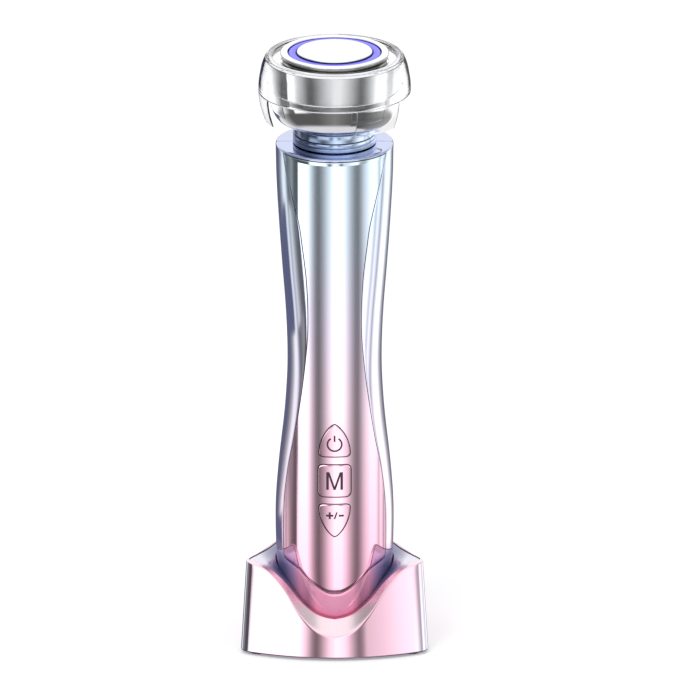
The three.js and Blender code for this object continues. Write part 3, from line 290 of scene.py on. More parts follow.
def object_from(name, work):
    """A mesh object from an edit mesh, which is freed."""
    mesh = bpy.data.meshes.new(name)
    work.to_mesh(mesh)
    work.free()
    return new_object(name, mesh)


def mesh_from(name, points, faces):
    """A mesh object from points in millimetres, with equal points joined and its faces turned out."""
    work = bmesh.new()
    verts = [work.verts.new([c * MM for c in point]) for point in points]
    for face in faces:
        corners = [verts[i] for i in dict.fromkeys(face)]
        if len(corners) > 2 and not work.faces.get(corners):
            work.faces.new(corners)
    bmesh.ops.remove_doubles(work, verts=work.verts, dist=WELD * MM)
    bmesh.ops.dissolve_degenerate(work, edges=work.edges, dist=WELD / 4 * MM)
    bmesh.ops.recalc_face_normals(work, faces=work.faces)
    return object_from(name, work)


def modify(piece, kind, **settings):
    """Adds a modifier to a piece and applies it to the mesh."""
    made = piece.modifiers.new(kind.title(), kind)
    for key, value in settings.items():
        setattr(made, key, value)
    bpy.context.view_layer.update()
    shown = piece.evaluated_get(bpy.context.evaluated_depsgraph_get())
    mesh = bpy.data.meshes.new_from_object(shown)
    piece.modifiers.clear()
    old = piece.data
    piece.data = mesh
    bpy.data.meshes.remove(old)
    return piece


def thicken(piece, wall):
    """Gives a skin a wall behind it."""
    return modify(piece, "SOLIDIFY", thickness=wall * MM, offset=-1, use_even_offset=True)


def bevel(piece, width, segments=3):
    return modify(piece, "BEVEL", width=width * MM, segments=segments, limit_method="ANGLE",
                  angle_limit=math.radians(35), use_clamp_overlap=True)


def grid_faces(rows, columns, closed=False):
    """Faces of a grid of points, row by row, whose columns may close on themselves."""
    faces = []
    for row in range(rows - 1):
        here, above = row * columns, (row + 1) * columns
        for column in range(columns if closed else columns - 1):
            right = (column + 1) % columns
            faces.append((here + column, here + right, above + right, above + column))
    return faces


def ring_rows(rings, close=False):
    """The points of some rings in one list, and the faces between them."""
    count = len(rings[0])
    faces = grid_faces(len(rings), count, closed=True)
    if close:
        last = (len(rings) - 1) * count
        faces += [(last + k, last + (k + 1) % count, (k + 1) % count, k) for k in range(count)]
    return [point for ring in rings for point in ring], faces


def bar_between(name, rings):
    """A closed bar between two rings, for cutting."""
    points, faces = ring_rows(rings)
    count = len(rings[0])
    return mesh_from(name, points, faces + [tuple(range(count)), tuple(range(count, 2 * count))])


def upright_bar(name, ground, low, high):
    return bar_between(name, [[(x, y, z) for x, y in ground] for z in (low, high)])


def rounded(corners, closed=True, steps=CORNER_STEPS):
    """Rounds the corners of a line: each is (x, y, how far from the corner its rounding starts)."""
    line = []
    for i, (*corner, size) in enumerate(corners):
        if size <= 0 or (not closed and i in (0, len(corners) - 1)):
            line.append(tuple(corner))
            continue
        ends = []
        for other in (corners[i - 1][:2], corners[(i + 1) % len(corners)][:2]):
            ends.append(part_way(corner, other, min(size / math.dist(corner, other), 0.49)))
        line += [corner_curve(ends[0], corner, ends[1], k / steps) for k in range(steps + 1)]
    return line


def turned(name, profile, closed=True, steps=TURN_STEPS):
    """Turns a profile of (radius, height) points round the Z axis."""
    rings = [[polar(360 * k / steps, radius, height) for k in range(steps)] for radius, height in profile]
    return mesh_from(name, *ring_rows(rings, closed))


def cut_by(piece, tool):
    modify(piece, "BOOLEAN", operation="DIFFERENCE", object=tool, solver="EXACT")
    bpy.data.objects.remove(tool)
    return piece


# Wand surface


def share_at(table, height):
    """Reads a table of shares at a height on the wand."""
    return smooth_share(table, clamp((height - WAND_BOTTOM) / WAND_LENGTH))


def half_width_at(height):
    return lerp(WAIST_HALF_WIDTH, WAND_HALF_WIDTH, share_at(WIDTH_SHARES, height))


def panel_spread_at(height):
    return PANEL_AZIMUTH * share_at(PANEL_SHARES, height)


def bottom_taper(height):
    below = clamp((WAND_BOTTOM + BOTTOM_CURVE - height) / BOTTOM_CURVE)
    return BOTTOM_SHARE + (1 - BOTTOM_SHARE) * math.sqrt(max(1 - below ** BOTTOM_POWER, 0))


def wand_reach(azimuth, height):
    """Distance of the wand's surface from its axis: a straight cylinder as far as the panel's
    edge, then sides that follow the waist, and half an ellipse at the back."""
    turn = math.radians(abs((azimuth + 180) % 360 - 180))
    edge = math.radians(panel_spread_at(height))
    width = half_width_at(height)
    taper = bottom_taper(height)
    if turn <= edge:
        return FRONT_RADIUS * taper
    depth = math.cos(edge) / math.sqrt(1 / FRONT_RADIUS ** 2 - (math.sin(edge) / width) ** 2)
    if turn > math.pi / 2:
        depth = (WAIST_HALF_WIDTH + (width - WAIST_HALF_WIDTH) * (1 - BACK_DEPTH_SHARE)
                 + (FRONT_RADIUS - WAIST_HALF_WIDTH) * BACK_DEPTH_SHARE)
    return taper / math.hypot(math.sin(turn) / width, math.cos(turn) / depth)


PANEL_LOW = WAND_BOTTOM + PANEL_BOTTOM
PANEL_CORNER = PANEL_LOW + PANEL_BOTTOM_RISE
PANEL_HIGH = SHOULDER - PANEL_TOP_INSET
SIDE_COLUMNS = 18
FRONT_COLUMNS = 48
BACK_COLUMNS = 64
BOTTOM_ROWS = 26
MIDDLE_ROWS = 110
EDGE_ROWS = 5


def panel_low_at(across):
    """Height of the panel's lower edge at a share of its spread."""
    return PANEL_LOW + PANEL_BOTTOM_RISE * smooth_share(PANEL_BOTTOM_SHARES, abs(across))


def side_rows(low, high, steps, power=1.0):
    """Rows on the wand's side, each as (height, inset, share inwards, radius of the hole)."""
    return [(height, 0.0, 0.0, SHOULDER_HOLE) for height in spaced(low, high, steps, power)]


def foot_rows(top):
    """Rows from the bottom cap's hole out to the side and up to a height."""
    foot = [(WAND_BOTTOM, 0.0, inward, CAP_RADIUS + GAP) for inward in (1, 0.5, 0.08)]
    return foot + side_rows(WAND_BOTTOM, top, BOTTOM_ROWS, 1.8)


def closing_rows():
    """Rows over the shoulder's edge and in to the neck's hole."""
    rows = []
    for up, inset in quarter_turn(EDGE_ROWS):
        rows.append((SHOULDER - SHOULDER_EDGE * (1 - up), SHOULDER_EDGE * inset, 0, SHOULDER_HOLE))
    return rows + [(SHOULDER, SHOULDER_EDGE, share, SHOULDER_HOLE) for share in (0.08, 0.5, 1)]


def shell_point(azimuth, height, inset, inward, hole):
    return polar(azimuth, lerp(wand_reach(azimuth, height) - inset, hole, inward), height)


def front_shell():
    """The front shell: both sides, the zone under the panel and the strip over it."""
    free = math.degrees(GAP / FRONT_RADIUS)
    corner = PANEL_CORNER - GAP
    rows = foot_rows(corner)
    lower_edge = len(rows) - 1
    rows += side_rows(corner, PANEL_HIGH + GAP, MIDDLE_ROWS)[1:]
    upper_edge = len(rows) - 1
    rows += closing_rows()
    points, faces, index = [], [], {}
    for row, (height, *rest) in enumerate(rows):
        seam = 90 - math.degrees(GAP / 2 / half_width_at(height))
        edge = panel_spread_at(height) + free
        places = {(side, k): (side * lerp(seam, edge, k / SIDE_COLUMNS), height)
                  for side in (-1, 1) for k in range(SIDE_COLUMNS + 1)}
        for k in range(1, 1 if lower_edge < row < upper_edge else FRONT_COLUMNS):
            across, own = 2 * k / FRONT_COLUMNS - 1, height
            if row <= lower_edge:
                rise = (height - WAND_BOTTOM) / (corner - WAND_BOTTOM)
                own = lerp(WAND_BOTTOM, panel_low_at(across) - GAP, rise)
            places[0, k] = (across * (panel_spread_at(own) + free), own)
        for column, (azimuth, own) in places.items():
            index[row, column] = len(points)
            points.append(shell_point(azimuth, own, *rest))
    order = [(-1, k) for k in range(SIDE_COLUMNS + 1)] + [(0, k) for k in range(1, FRONT_COLUMNS)]
    order += [(1, k) for k in range(SIDE_COLUMNS, -1, -1)]
    for row in range(len(rows) - 1):
        for here, after in zip(order, order[1:]):
            if not (0 in (here[0], after[0]) and lower_edge <= row < upper_edge):
                corners = ((row, here), (row, after), (row + 1, after), (row + 1, here))
                faces.append([index[corner] for corner in corners])
    return mesh_from("front_shell_fine", points, faces)


def back_shell():
    corner = WAND_BOTTOM + BOTTOM_CURVE
    middle = side_rows(corner, SHOULDER - SHOULDER_EDGE, MIDDLE_ROWS)[1:]
    rows = foot_rows(corner) + middle + closing_rows()
    points = []
    for height, *rest in rows:
        seam = math.degrees(GAP / 2 / half_width_at(height))
        for k in range(BACK_COLUMNS + 1):
            points.append(shell_point(lerp(90 + seam, 270 - seam, k / BACK_COLUMNS), height, *rest))
    return mesh_from("back_shell_fine", points, grid_faces(len(rows), BACK_COLUMNS + 1))


# Flat outlines wrapped on the wand's front


def on_front(across, height, reach):
    """A point from a length round the front, a height and a distance from the axis."""
    return polar(math.degrees(across / FRONT_RADIUS), reach, height)


def wrapped(work, loop, radius, cell_across, cell_up):
    """Adds a skin from an outline of (length round the front, height), cut into cells and wrapped."""
    skin = bmesh.new()
    verts = [skin.verts.new((across, 0, height)) for across, height in loop]
    edges = [skin.edges.new((verts[i - 1], verts[i])) for i in range(len(verts))]
    bmesh.ops.triangle_fill(skin, use_beauty=True, use_dissolve=False, edges=edges, normal=(0, -1, 0))
    for axis, size in ((0, cell_across), (2, cell_up)):
        places = [p[axis // 2] for p in loop]
        count = max(int((max(places) - min(places)) / size), 1)
        for k in range(1, count):
            where, normal = [0, 0, 0], [0, 0, 0]
            where[axis] = lerp(min(places), max(places), k / count)
            normal[axis] = 1
            bmesh.ops.bisect_plane(skin, geom=skin.verts[:] + skin.edges[:] + skin.faces[:], dist=1e-5,
                                   plane_co=where, plane_no=normal)
    bmesh.ops.remove_doubles(skin, verts=skin.verts, dist=WELD)
    for vert in skin.verts:
        vert.co = [c * MM for c in on_front(vert.co.x, vert.co.z, radius)]
    bmesh.ops.recalc_face_normals(skin, faces=skin.faces)
    if sum(face.normal.y * face.calc_area() for face in skin.faces) > 0:
        bmesh.ops.reverse_faces(skin, faces=skin.faces)
    mesh = bpy.data.meshes.new("skin")
    skin.to_mesh(mesh)
    skin.free()
    work.from_mesh(mesh)
    bpy.data.meshes.remove(mesh)


def triangle_outline():
    """A triangle with full, rounded sides and its tip up."""
    low, rise = -BUTTON_HEIGHT / 2, BUTTON_HEIGHT + BUTTON_TIP_RISE
    side = []
    for k in range(1, 25):
        share = 0.2 + 0.8 * k / 25
        width = BUTTON_HALF_WIDTH * (1 - share ** BUTTON_FULL_POWER) ** BUTTON_TIP_POWER
        side.append((width, low + share * rise))
    corner = [(0, low, 0), (BUTTON_HALF_WIDTH, low, BUTTON_ROUND), (*side[0], 0)]
    right = rounded(corner, closed=False, steps=8)[1:-1] + side
    return right + [(0, low + rise)] + [(-x, z) for x, z in reversed(right)]


def square_outline():
    half, top = MODE_HALF_WIDTH, BUTTON_HEIGHT / 2
    corners = ((half, -top), (half, top), (-half, top), (-half, -top))
    return rounded([(x, z, BUTTON_ROUND) for x, z in corners], steps=8)


def grown(line, by):
    """A closed outline moved outwards by a distance."""
    moved = []
    for i, (x, z) in enumerate(line):
        before, after = line[i - 1], line[(i + 1) % len(line)]
        along = (after[0] - before[0], after[1] - before[1])
        length = math.hypot(*along) or 1
        moved.append((x + by * along[1] / length, z - by * along[0] / length))
    return moved


BUTTONS = {
    "power": (POWER_HEIGHT, triangle_outline()),
    "mode": (MODE_HEIGHT, square_outline()),
    "level": (LEVEL_HEIGHT, [(x, -z) for x, z in reversed(triangle_outline())]),
}


def resampled(line, step=0.4):
    """A closed outline with its long stretches cut into short ones."""
    points = []
    for i, start in enumerate(line):
        end = line[(i + 1) % len(line)]
        count = max(int(math.dist(start, end) / step), 1)
        points += [part_way(start, end, k / count) for k in range(count)]
    return points


def button_hole(name):
    """A closed bar with the outline of a button's hole, for cutting the panel."""
    height, line = BUTTONS[name]
    outline = resampled(grown(line, BUTTON_GAP))
    return bar_between("button_hole_tool", [
        [on_front(x, height + z, FRONT_RADIUS + way * HOLE_REACH) for x, z in outline] for way in (-1, 1)])


def front_panel():
    """The panel as a fine curved grid between its lower edge and the shoulder."""
    points = []
    for row in range(PANEL_ROWS + 1):
        for k in range(PANEL_COLUMNS + 1):
            across = 2 * k / PANEL_COLUMNS - 1
            height = lerp(panel_low_at(across), PANEL_HIGH, row / PANEL_ROWS)
            reach = FRONT_RADIUS * bottom_taper(height)
            points.append(polar(across * panel_spread_at(height), reach, height))
    return mesh_from("front_panel_fine", points, grid_faces(PANEL_ROWS + 1, PANEL_COLUMNS + 1))


def button_cap(name):
    """A button lofted from its outline: a top that follows the front, a rounded edge and its sides."""
    height, line = BUTTONS[name]
    line = resampled(line)

    def ring(outline, reach, share=1.0):
        return [on_front(x * share, height + z * share, reach) for x, z in outline]

    top = FRONT_RADIUS + BUTTON_PROUD
    inner = grown(line, -BUTTON_EDGE)
    rings = [ring(inner, top, k / 14) for k in range(1, 15)]
    for up, drop in quarter_turn(4):
        rings.append(ring(grown(line, -BUTTON_EDGE * (1 - up)), top - BUTTON_EDGE * drop))
    rings.append(ring(line, top - BUTTON_DEPTH))
    points, faces = ring_rows(rings)
    count, last = len(line), len(points)
    faces += [(k, (k + 1) % count, last) for k in range(count)] + [tuple(range(last - count, last))]
    return mesh_from(f"{name}_button_fine", points + [on_front(0, height, top)], faces)


def dress_faces(piece, finish, chosen):
    """Gives another finish to the faces that a test picks."""
    piece.data.materials.append(FINISHES[finish])
    for face in piece.data.polygons:
        if chosen(face):
            face.material_index = 1


def is_upright(face):
    """Whether a face stands square to the wand's surface, as the sides of the grooves do."""
    x, y, _z = face.center
    return abs(face.normal.x * x + face.normal.y * y) / math.hypot(x, y) < 0.35


def is_band(face):
    """Whether a face belongs to the sloping band between the cradle's two lips."""
    return face.normal.z > 0.4


# Marks on the buttons

MARK_LIFT = 0.03
MARK_DEPTH = 0.06
MARK_CELL = (0.4, 1.0)
POWER_MARK_RADIUS = 2.35
POWER_MARK_STROKE = 0.58
POWER_MARK_DROP = 1.25
POWER_BAR_LOW = 0.9
POWER_BAR_HIGH = 3.1
MODE_MARK_HALF = 2.75
MODE_MARK_HEIGHT = 6.2
MODE_MARK_STROKE = 0.85
LEVEL_MARK_RISE = 1.7
SIGN_HALF = 1.2
SIGN_STROKE = 0.66
SIGN_PLACES = (-1.6, 0.35, 2.2)


def arc_ribbon(radius, stroke, start, end, steps=40):
    outer = [(radius + stroke / 2, turn) for turn in spaced(start, end, steps)]
    inner = [(radius - stroke / 2, turn) for turn in spaced(end, start, steps)]
    return [(r * math.sin(math.radians(a)), r * math.cos(math.radians(a))) for r, a in outer + inner]


def bar(x_low, x_high, z_low, z_high, lean=0.0):
    return [(x_low - lean, z_low), (x_high - lean, z_low), (x_high + lean, z_high), (x_low + lean, z_high)]


def power_mark():
    return [arc_ribbon(POWER_MARK_RADIUS, POWER_MARK_STROKE, 32, 328),
            bar(-POWER_MARK_STROKE / 2, POWER_MARK_STROKE / 2, POWER_BAR_LOW, POWER_BAR_HIGH)]


def mode_mark():
    """The mode key's mark: two uprights and a deep notch between them."""
    half, top, stroke = MODE_MARK_HALF, MODE_MARK_HEIGHT / 2, MODE_MARK_STROKE
    slant, inner, shoulder = stroke * 1.25, half - stroke, top - stroke * 1.7
    right = [(half, -top), (half, top), (half - slant, top), (0, stroke * 1.4 - top)]
    left = [(-half + slant, top), (-half, top), (-half, -top), (-inner, -top), (-inner, shoulder)]
    return [right + left + [(-stroke * 0.42, -top), (stroke * 0.42, -top), (inner, shoulder), (inner, -top)]]


def level_mark():
    """A plus, a slash and a minus."""
    half, stroke = SIGN_HALF, SIGN_STROKE / 2
    plus_x, slash_x, minus_x = SIGN_PLACES
    plus = []
    for turn in range(4):
        a = math.radians(90 * turn)
        for x, z in ((stroke, stroke), (stroke, half), (-stroke, half)):
            plus.append((x * math.cos(a) - z * math.sin(a) + plus_x, x * math.sin(a) + z * math.cos(a)))
    slash = [(x + slash_x, z) for x, z in bar(-stroke * 0.8, stroke * 0.8, -half, half, lean=half / 3)]
    return [plus, slash, bar(minus_x - half * 0.7, minus_x + half * 0.7, -stroke, stroke)]


MARKS = {
    "power": (power_mark, POWER_HEIGHT - POWER_MARK_DROP),
    "mode": (mode_mark, MODE_HEIGHT),
    "level": (level_mark, LEVEL_HEIGHT + LEVEL_MARK_RISE),
}


def button_mark(name):
    shapes, height = MARKS[name]
    work = bmesh.new()
    for shape in shapes():
        loop = [(x, height + z) for x, z in shape]
        wrapped(work, loop, FRONT_RADIUS + BUTTON_PROUD + MARK_LIFT, *MARK_CELL)
    return object_from(f"{name}_mark", work)


# Neck and head


def neck_collar():
    low, top = COLLAR_BASE - SPIGOT_LENGTH, COLLAR_BASE + COLLAR_HEIGHT + GAP / 2
    middle = COLLAR_BASE + COLLAR_HEIGHT / 2
    groove, edge = 0.45, 0.3
    profile = rounded([
        (COLLAR_BORE, low, 0), (SPIGOT_RADIUS, low, edge), (SPIGOT_RADIUS, COLLAR_BASE, 0),
        (COLLAR_RADIUS, COLLAR_BASE, edge), (COLLAR_RADIUS, middle - groove / 2, 0.15),
        (COLLAR_RADIUS - groove, middle, 0.1), (COLLAR_RADIUS, middle + groove / 2, 0.15),
        (COLLAR_RADIUS, top, 0.15), (COLLAR_BORE, top, 0),
    ])
    return turned("neck_collar_fine", profile)


def neck_ring():
    top = NECK_RING_BASE + NECK_RING_HEIGHT
    step = top - NECK_STEP_HEIGHT
    profile = rounded([
        (COLLAR_BORE, NECK_RING_BASE, 0), (NECK_RING_RADIUS, NECK_RING_BASE, 0.12),
        (NECK_RING_RADIUS, step, 0.5), (NECK_RING_RADIUS - NECK_STEP, step, 0.2),
        (NECK_RING_RADIUS - NECK_STEP, top, 0.3), (COLLAR_BORE, top, 0),
    ])
    return turned("neck_ring_fine", profile)


def slope(degrees):
    return math.tan(math.radians(degrees))


def bowl_profile():
    """The outside of the bowl: a full curve, a wall that leans out and a crown that leans in."""
    low, high, top = BOWL_BASE + BOWL_CURVE, BOWL_RIM + CROWN_START, DRUM_TOP + CROWN_RISE
    waist = BOWL_RADIUS - slope(WALL_LEAN) * (high - low)
    full = waist - BOWL_FOOT_RADIUS - slope(BOWL_LEAN) * BOWL_CURVE
    line = []
    for share in spaced(0, 1, 32, 1.5):
        out = (1 - (1 - share) ** BOWL_POWER) ** (1 / BOWL_POWER)
        rise = share * BOWL_CURVE
        line.append((BOWL_FOOT_RADIUS + full * out + slope(BOWL_LEAN) * rise, BOWL_BASE + rise))
    line += [part_way((waist, low), (BOWL_RADIUS, high), k / 6) for k in range(1, 7)]
    radius = BOWL_RADIUS
    for share in spaced(0, 1, 10)[1:]:
        radius -= slope(lerp(*CROWN_LEANS, share)) * (top - high) / 10
        line.append((radius, lerp(high, top, share)))
    return line + [(radius - CROWN_ROUND * inset, top + CROWN_ROUND * up) for up, inset in quarter_turn(4)]


def head_cup():
    """The bowl with its crown, and the drum that hangs inside it, from one profile."""
    outside = bowl_profile()
    top = outside[-1][1]
    seat = FACE_RADIUS + GAP
    inside, ledge = DRUM_RADIUS - DRUM_WALL, DRUM_TOP - BOARD_DROP
    under, floor = DRUM_TOP - DRUM_WALL, BOWL_BASE + BOWL_WALL
    inner = [
        (seat, top), (seat, DRUM_TOP), (inside, DRUM_TOP), (inside, ledge), (inside - BOARD_LEDGE, ledge),
        (inside - BOARD_LEDGE, ledge - DRUM_WALL), (DRUM_RADIUS, ledge - DRUM_WALL), (DRUM_RADIUS, under),
        (TOP_RADIUS - BOWL_WALL, under), (BOWL_RADIUS - BOWL_WALL * 1.5, BOWL_RIM),
        (BOWL_FOOT_RADIUS, floor), (COLLAR_BORE, floor),
    ]
    return turned("head_cup_fine", [(COLLAR_BORE, BOWL_BASE)] + outside + inner)


def face_rim():
    inner, side = LIGHT_OUTER + GAP, FACE_RADIUS - FACE_DRAFT
    foot, ledge = FACE_BASE - SPIGOT_DEPTH, FACE_BASE + FACE_LEDGE
    profile = rounded([
        (SPIGOT_INNER, foot, 0), (SPIGOT_OUTER, foot, 0), (SPIGOT_OUTER, FACE_BASE, 0),
        (side, FACE_BASE, 0.3), (side, FACE_BASE + 0.9, 0.4), (FACE_RADIUS, FACE_TOP - 0.5, 0.4),
        (FACE_RADIUS - 0.3, FACE_TOP, 0.3), (inner + 0.1, FACE_TOP, 0.3), (inner, ledge, 0),
        (SPIGOT_INNER, ledge, 0),
    ])
    return turned("face_rim_fine", profile)


def light_ring():
    top, foot = FACE_TOP - LIGHT_DROP, SPIGOT_INNER - GAP
    low, ledge = top - LIGHT_DEPTH, FACE_BASE + FACE_LEDGE + GAP
    profile = rounded([
        (LIGHT_INNER, low, 0), (foot, low, 0), (foot, ledge, 0), (LIGHT_OUTER, ledge, 0),
        (LIGHT_OUTER, top, 0.3), (LIGHT_INNER, top, 0.2),
    ])
    return turned("light_ring_fine", profile)


def centre_disc():
    radius = LIGHT_INNER - GAP
    top = FACE_TOP + DISC_RISE
    under = top - DISC_DEPTH
    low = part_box("centre_disc")[0].z / MM
    profile = rounded([
        (0, low, 0), (DISC_STEM, low, 0.3), (DISC_STEM, under, 0), (radius - 0.5, under, 0.2),
        (radius, under + 0.5, 0.3), (radius, top - 0.35, 0.6), (radius - 0.9, top, 0.8), (0, top, 0),
    ], closed=False)
    return turned("centre_disc_fine", profile, closed=False)


def clear_reach(height):
    """Outer radius of the clear ring's bulging wall."""
    share = (height - RING_BASE) / (RING_TOP - RING_BASE)
    return lerp(RING_TOP_RADIUS, RING_RADIUS, clamp(smooth_share(RING_SHARES, share)))


def clear_ring():
    """A clear wall that bulges, with a lip on top and three springy tabs."""
    outside = [(clear_reach(z), z) for z in spaced(RING_BASE, RING_TOP, 24)]
    lip, lip_low = RING_TOP_RADIUS - RING_LIP, RING_TOP - LIP_THICKNESS
    tip = RING_BASE - TAB_DROP
    tab = [(lerp(TAB_TIP_RADIUS, RING_RADIUS, math.sin(math.pi / 2 * share)), lerp(tip, RING_BASE, share))
           for share in spaced(0, 1, 10)]
    top = rounded([
        (RING_TOP_RADIUS, RING_TOP - 0.4, 0), (RING_TOP_RADIUS, RING_TOP, 0.5), (lip, RING_TOP, 0.3),
        (lip, lip_low, 0.2), (clear_reach(lip_low) - RING_TOP_WALL, lip_low, 0),
    ], closed=False)
    bore = []
    for z in spaced(lip_low, RING_BASE, 20)[1:]:
        share = (z - RING_BASE) / (lip_low - RING_BASE)
        bore.append((clear_reach(z) - lerp(RING_WALL, RING_TOP_WALL, share), z))
    bore += [(radius - TAB_WALL, z) for radius, z in reversed(tab)]
    ring = turned("clear_ring_fine", tab[:-1] + outside[:-1] + top + bore, steps=144)
    for i in range(TAB_COUNT):
        start, end = (TAB_TURN + (i + share) * 360 / TAB_COUNT for share in (0, 1))
        turns = spaced(start + TAB_SPREAD / 2, end - TAB_SPREAD / 2, 8)
        ground = [(0, 0)] + [polar(turn, 2 * RING_RADIUS, 0)[:2] for turn in turns]
        cut_by(ring, upright_bar("notch_tool", ground, tip - 2, RING_BASE))
    return ring


# Cradle


def plan_outline(half, front, corner, back, size):
    """A bowed front, two rounded corners and a round back, joined by straight sides."""
    cx = half - size
    centre = (cx ** 2 + corner ** 2 - (front - size) ** 2) / (2 * (front - size - corner))
    bow = centre + front
    front_end = math.atan2(cx, centre + corner)
    side_turn = math.pi - math.asin((back - size) / math.hypot(cx, corner)) - math.atan2(corner, cx)

    def on_arc(x, y, radius, turn):
        return (x + radius * math.sin(turn), y - radius * math.cos(turn))

    right = [on_arc(cx, -corner, size, turn) for turn in spaced(front_end, side_turn, 10)[1:]]
    start, end = right[-1], on_arc(0, 0, back, side_turn)
    right += [part_way(start, end, k / 12) for k in range(1, 12)]
    line = [on_arc(0, centre, bow, turn) for turn in spaced(-front_end, front_end, 40)] + right
    line += [on_arc(0, 0, back, turn) for turn in spaced(side_turn, 2 * math.pi - side_turn, 48)]
    return line + [(-x, y) for x, y in reversed(right)]


def cradle_outline(height):
    return plan_outline(*part_way(CRADLE_FOOT, CRADLE_TOP, height / CRADLE_HEIGHT))


def tray_outline(grow=0.0, narrower=0.0):
    half, front, corner, back, size = TRAY_PLAN
    return plan_outline(half + grow - narrower, front + grow, corner, back + grow, size + grow)


def top_height(x, y, dip):
    fall = WING_FALL_SHARE * max(y - WING_START, 0)
    fade = 1 - smoothstep(y, DIP_FADE_START, DIP_FADE_START + DIP_FADE_LENGTH)
    share = min(abs(x) / DIP_HALF_WIDTH, 1)
    return CRADLE_HEIGHT - fall - dip * smooth_share(DIP_SHARES, share) * fade


def blended(first, second, share):
    """A ring of points part of the way from one ring to another."""
    return [part_way(a, b, share) for a, b in zip(first, second)]


def rounded_edge(start, corner, end, shares):
    """Rings that round a corner between two others."""
    return [[corner_curve(*spots, share) for spots in zip(start, corner, end)] for share in shares]


def cradle_shell():
    foot, top = cradle_outline(0), cradle_outline(CRADLE_HEIGHT)
    inner, narrow = tray_outline(GAP), tray_outline(GAP, LEDGE_WIDTH)

    def wall(heights, inset=0.0):
        """A ring on the outside, with a height for each point."""
        ring = []
        for low, high, z in zip(foot, top, heights):
            x, y = part_way(low, high, z / CRADLE_HEIGHT)
            share = 1 - inset / math.hypot(x, y)
            ring.append((x * share, y * share, z))
        return ring

    rows = [(SHELL_START, SKIRT_WALL), (SKIRT_LOW, SKIRT_WALL)]
    for share, inset in ((0, 0.7), (0.35, 0.2), (1, 0), (1.4, 0)):
        rows.append((SKIRT_LOW + SKIRT_ROUND * share, SKIRT_ROUND * inset))
    rings = [wall([height] * len(foot), inset) for height, inset in rows]
    rim = [top_height(x, y, OUTER_DIP) for x, y in top]
    low = SKIRT_LOW + SKIRT_ROUND
    rings += [wall([lerp(low, z - 0.5, k / WALL_STEPS) for z in rim]) for k in range(1, WALL_STEPS)]
    outer = wall(rim)
    lip = [(x, y, top_height(x, y, INNER_DIP) + LIP_RISE) for x, y in inner]
    below = wall([z - RIM_ROUND for z in rim])
    rings += rounded_edge(below, outer, blended(outer, lip, 0.1), (0, 0.25, 0.5, 0.75))
    rings += [blended(outer, lip, lerp(0.1, 0.93, k / BAND_STEPS)) for k in range(1, BAND_STEPS)]
    inside = [(x, y, z - LIP_ROUND) for x, y, z in lip]
    rings += rounded_edge(blended(outer, lip, 0.94), lip, inside, (0, 0.33, 0.67, 1))
    for line in (inner, narrow):
        rings.append([(x, y, z - LIP_STEP) for (x, y), (_x, _y, z) in zip(line, lip)])
    rings.append([(x, y, SHELL_START) for x, y in narrow])
    shell = mesh_from("cradle_shell_fine", *ring_rows(rings, close=True))
    low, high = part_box("charging_inlet")
    half, back = high.x / MM + GAP, high.y / MM + 2
    mouth = ((-half, low.y / MM), (half, low.y / MM), (half, back), (-half, back))
    return cut_by(shell, upright_bar("mouth_tool", mouth, low.z / MM - GAP, high.z / MM + GAP))


def cradle_tray():
    """The dipped top inside the lip, and the pocket that follows the wand's bottom."""
    outline = tray_outline()
    azimuths = [math.degrees(math.atan2(x, -y)) for x, y in outline]
    mouth = []
    for azimuth in azimuths:
        height = CRADLE_HEIGHT / 2
        for _ in range(40):
            x, y, _z = polar(azimuth, wand_reach(azimuth, height) + POCKET_GAP, 0)
            height = (height + top_height(x, y, INNER_DIP)) / 2
        mouth.append(height)

    def floor(height):
        return [polar(a, wand_reach(a, WAND_BOTTOM) + POCKET_GAP, height) for a in azimuths]

    def wall(share, low, drop, more):
        heights = [lerp(low, high - drop, share) for high in mouth]
        return [polar(a, wand_reach(a, z + drop / 2) + more, z) for a, z in zip(azimuths, heights)]

    def top(share, drop, more):
        ring = []
        for azimuth, high, spot in zip(azimuths, mouth, outline):
            near = wand_reach(azimuth, high) + more
            x, y, _z = polar(azimuth, lerp(near, math.hypot(*spot), share), 0)
            ring.append((x, y, top_height(x, y, INNER_DIP) - drop))
        return ring

    outer_more = POCKET_GAP + TRAY_WALL
    under = POCKET_FLOOR - TRAY_FLOOR
    pocket = [0.01, 0.05, 0.12, 0.22, 0.34, 0.47, 0.61, 0.76, 0.9]
    across = (0, 0.03, 0.12, 0.25, 0.38, 0.5, 0.62, 0.75, 0.87, 0.97, 1)
    rings = [floor(POCKET_FLOOR)] + [wall(share, POCKET_FLOOR, 0, POCKET_GAP) for share in pocket + [0.985]]
    rings += [top(share, 0, POCKET_GAP) for share in across]
    rings += [top(share, TRAY_EDGE, outer_more) for share in (1, 0.75, 0.5, 0.25)]
    rings += [wall(share, under, TRAY_EDGE, outer_more) for share in reversed(pocket)] + [floor(under)]
    points, faces = ring_rows(rings)
    count = len(outline)
    for row in (0, len(rings) - 1):
        points.append((0, 0, rings[row][0][2]))
        faces += [(row * count + k, row * count + (k + 1) % count, len(points) - 1) for k in range(count)]
    tray = mesh_from("cradle_tray_fine", points, faces)
    low, high = under - 1, POCKET_FLOOR + 1
    profile = [(0, low), (PIN_HOLE_RADIUS, low), (PIN_HOLE_RADIUS, high), (0, high)]
    for way in (-1, 1):
        hole = turned("pin_tool", profile, closed=False, steps=32)
        hole.data.transform(Matrix.Translation((way * CONTACT_SPREAD * MM, 0, 0)))
        cut_by(tray, hole)
    return tray


# Node trees


def add_node(tree, kind, inputs=(), **settings):
    made = tree.nodes.new(kind)
    for key, value in settings.items():
        setattr(made, key, value)
    for key, value in dict(inputs).items():
        plug(tree, made.inputs[key], value)
    return made


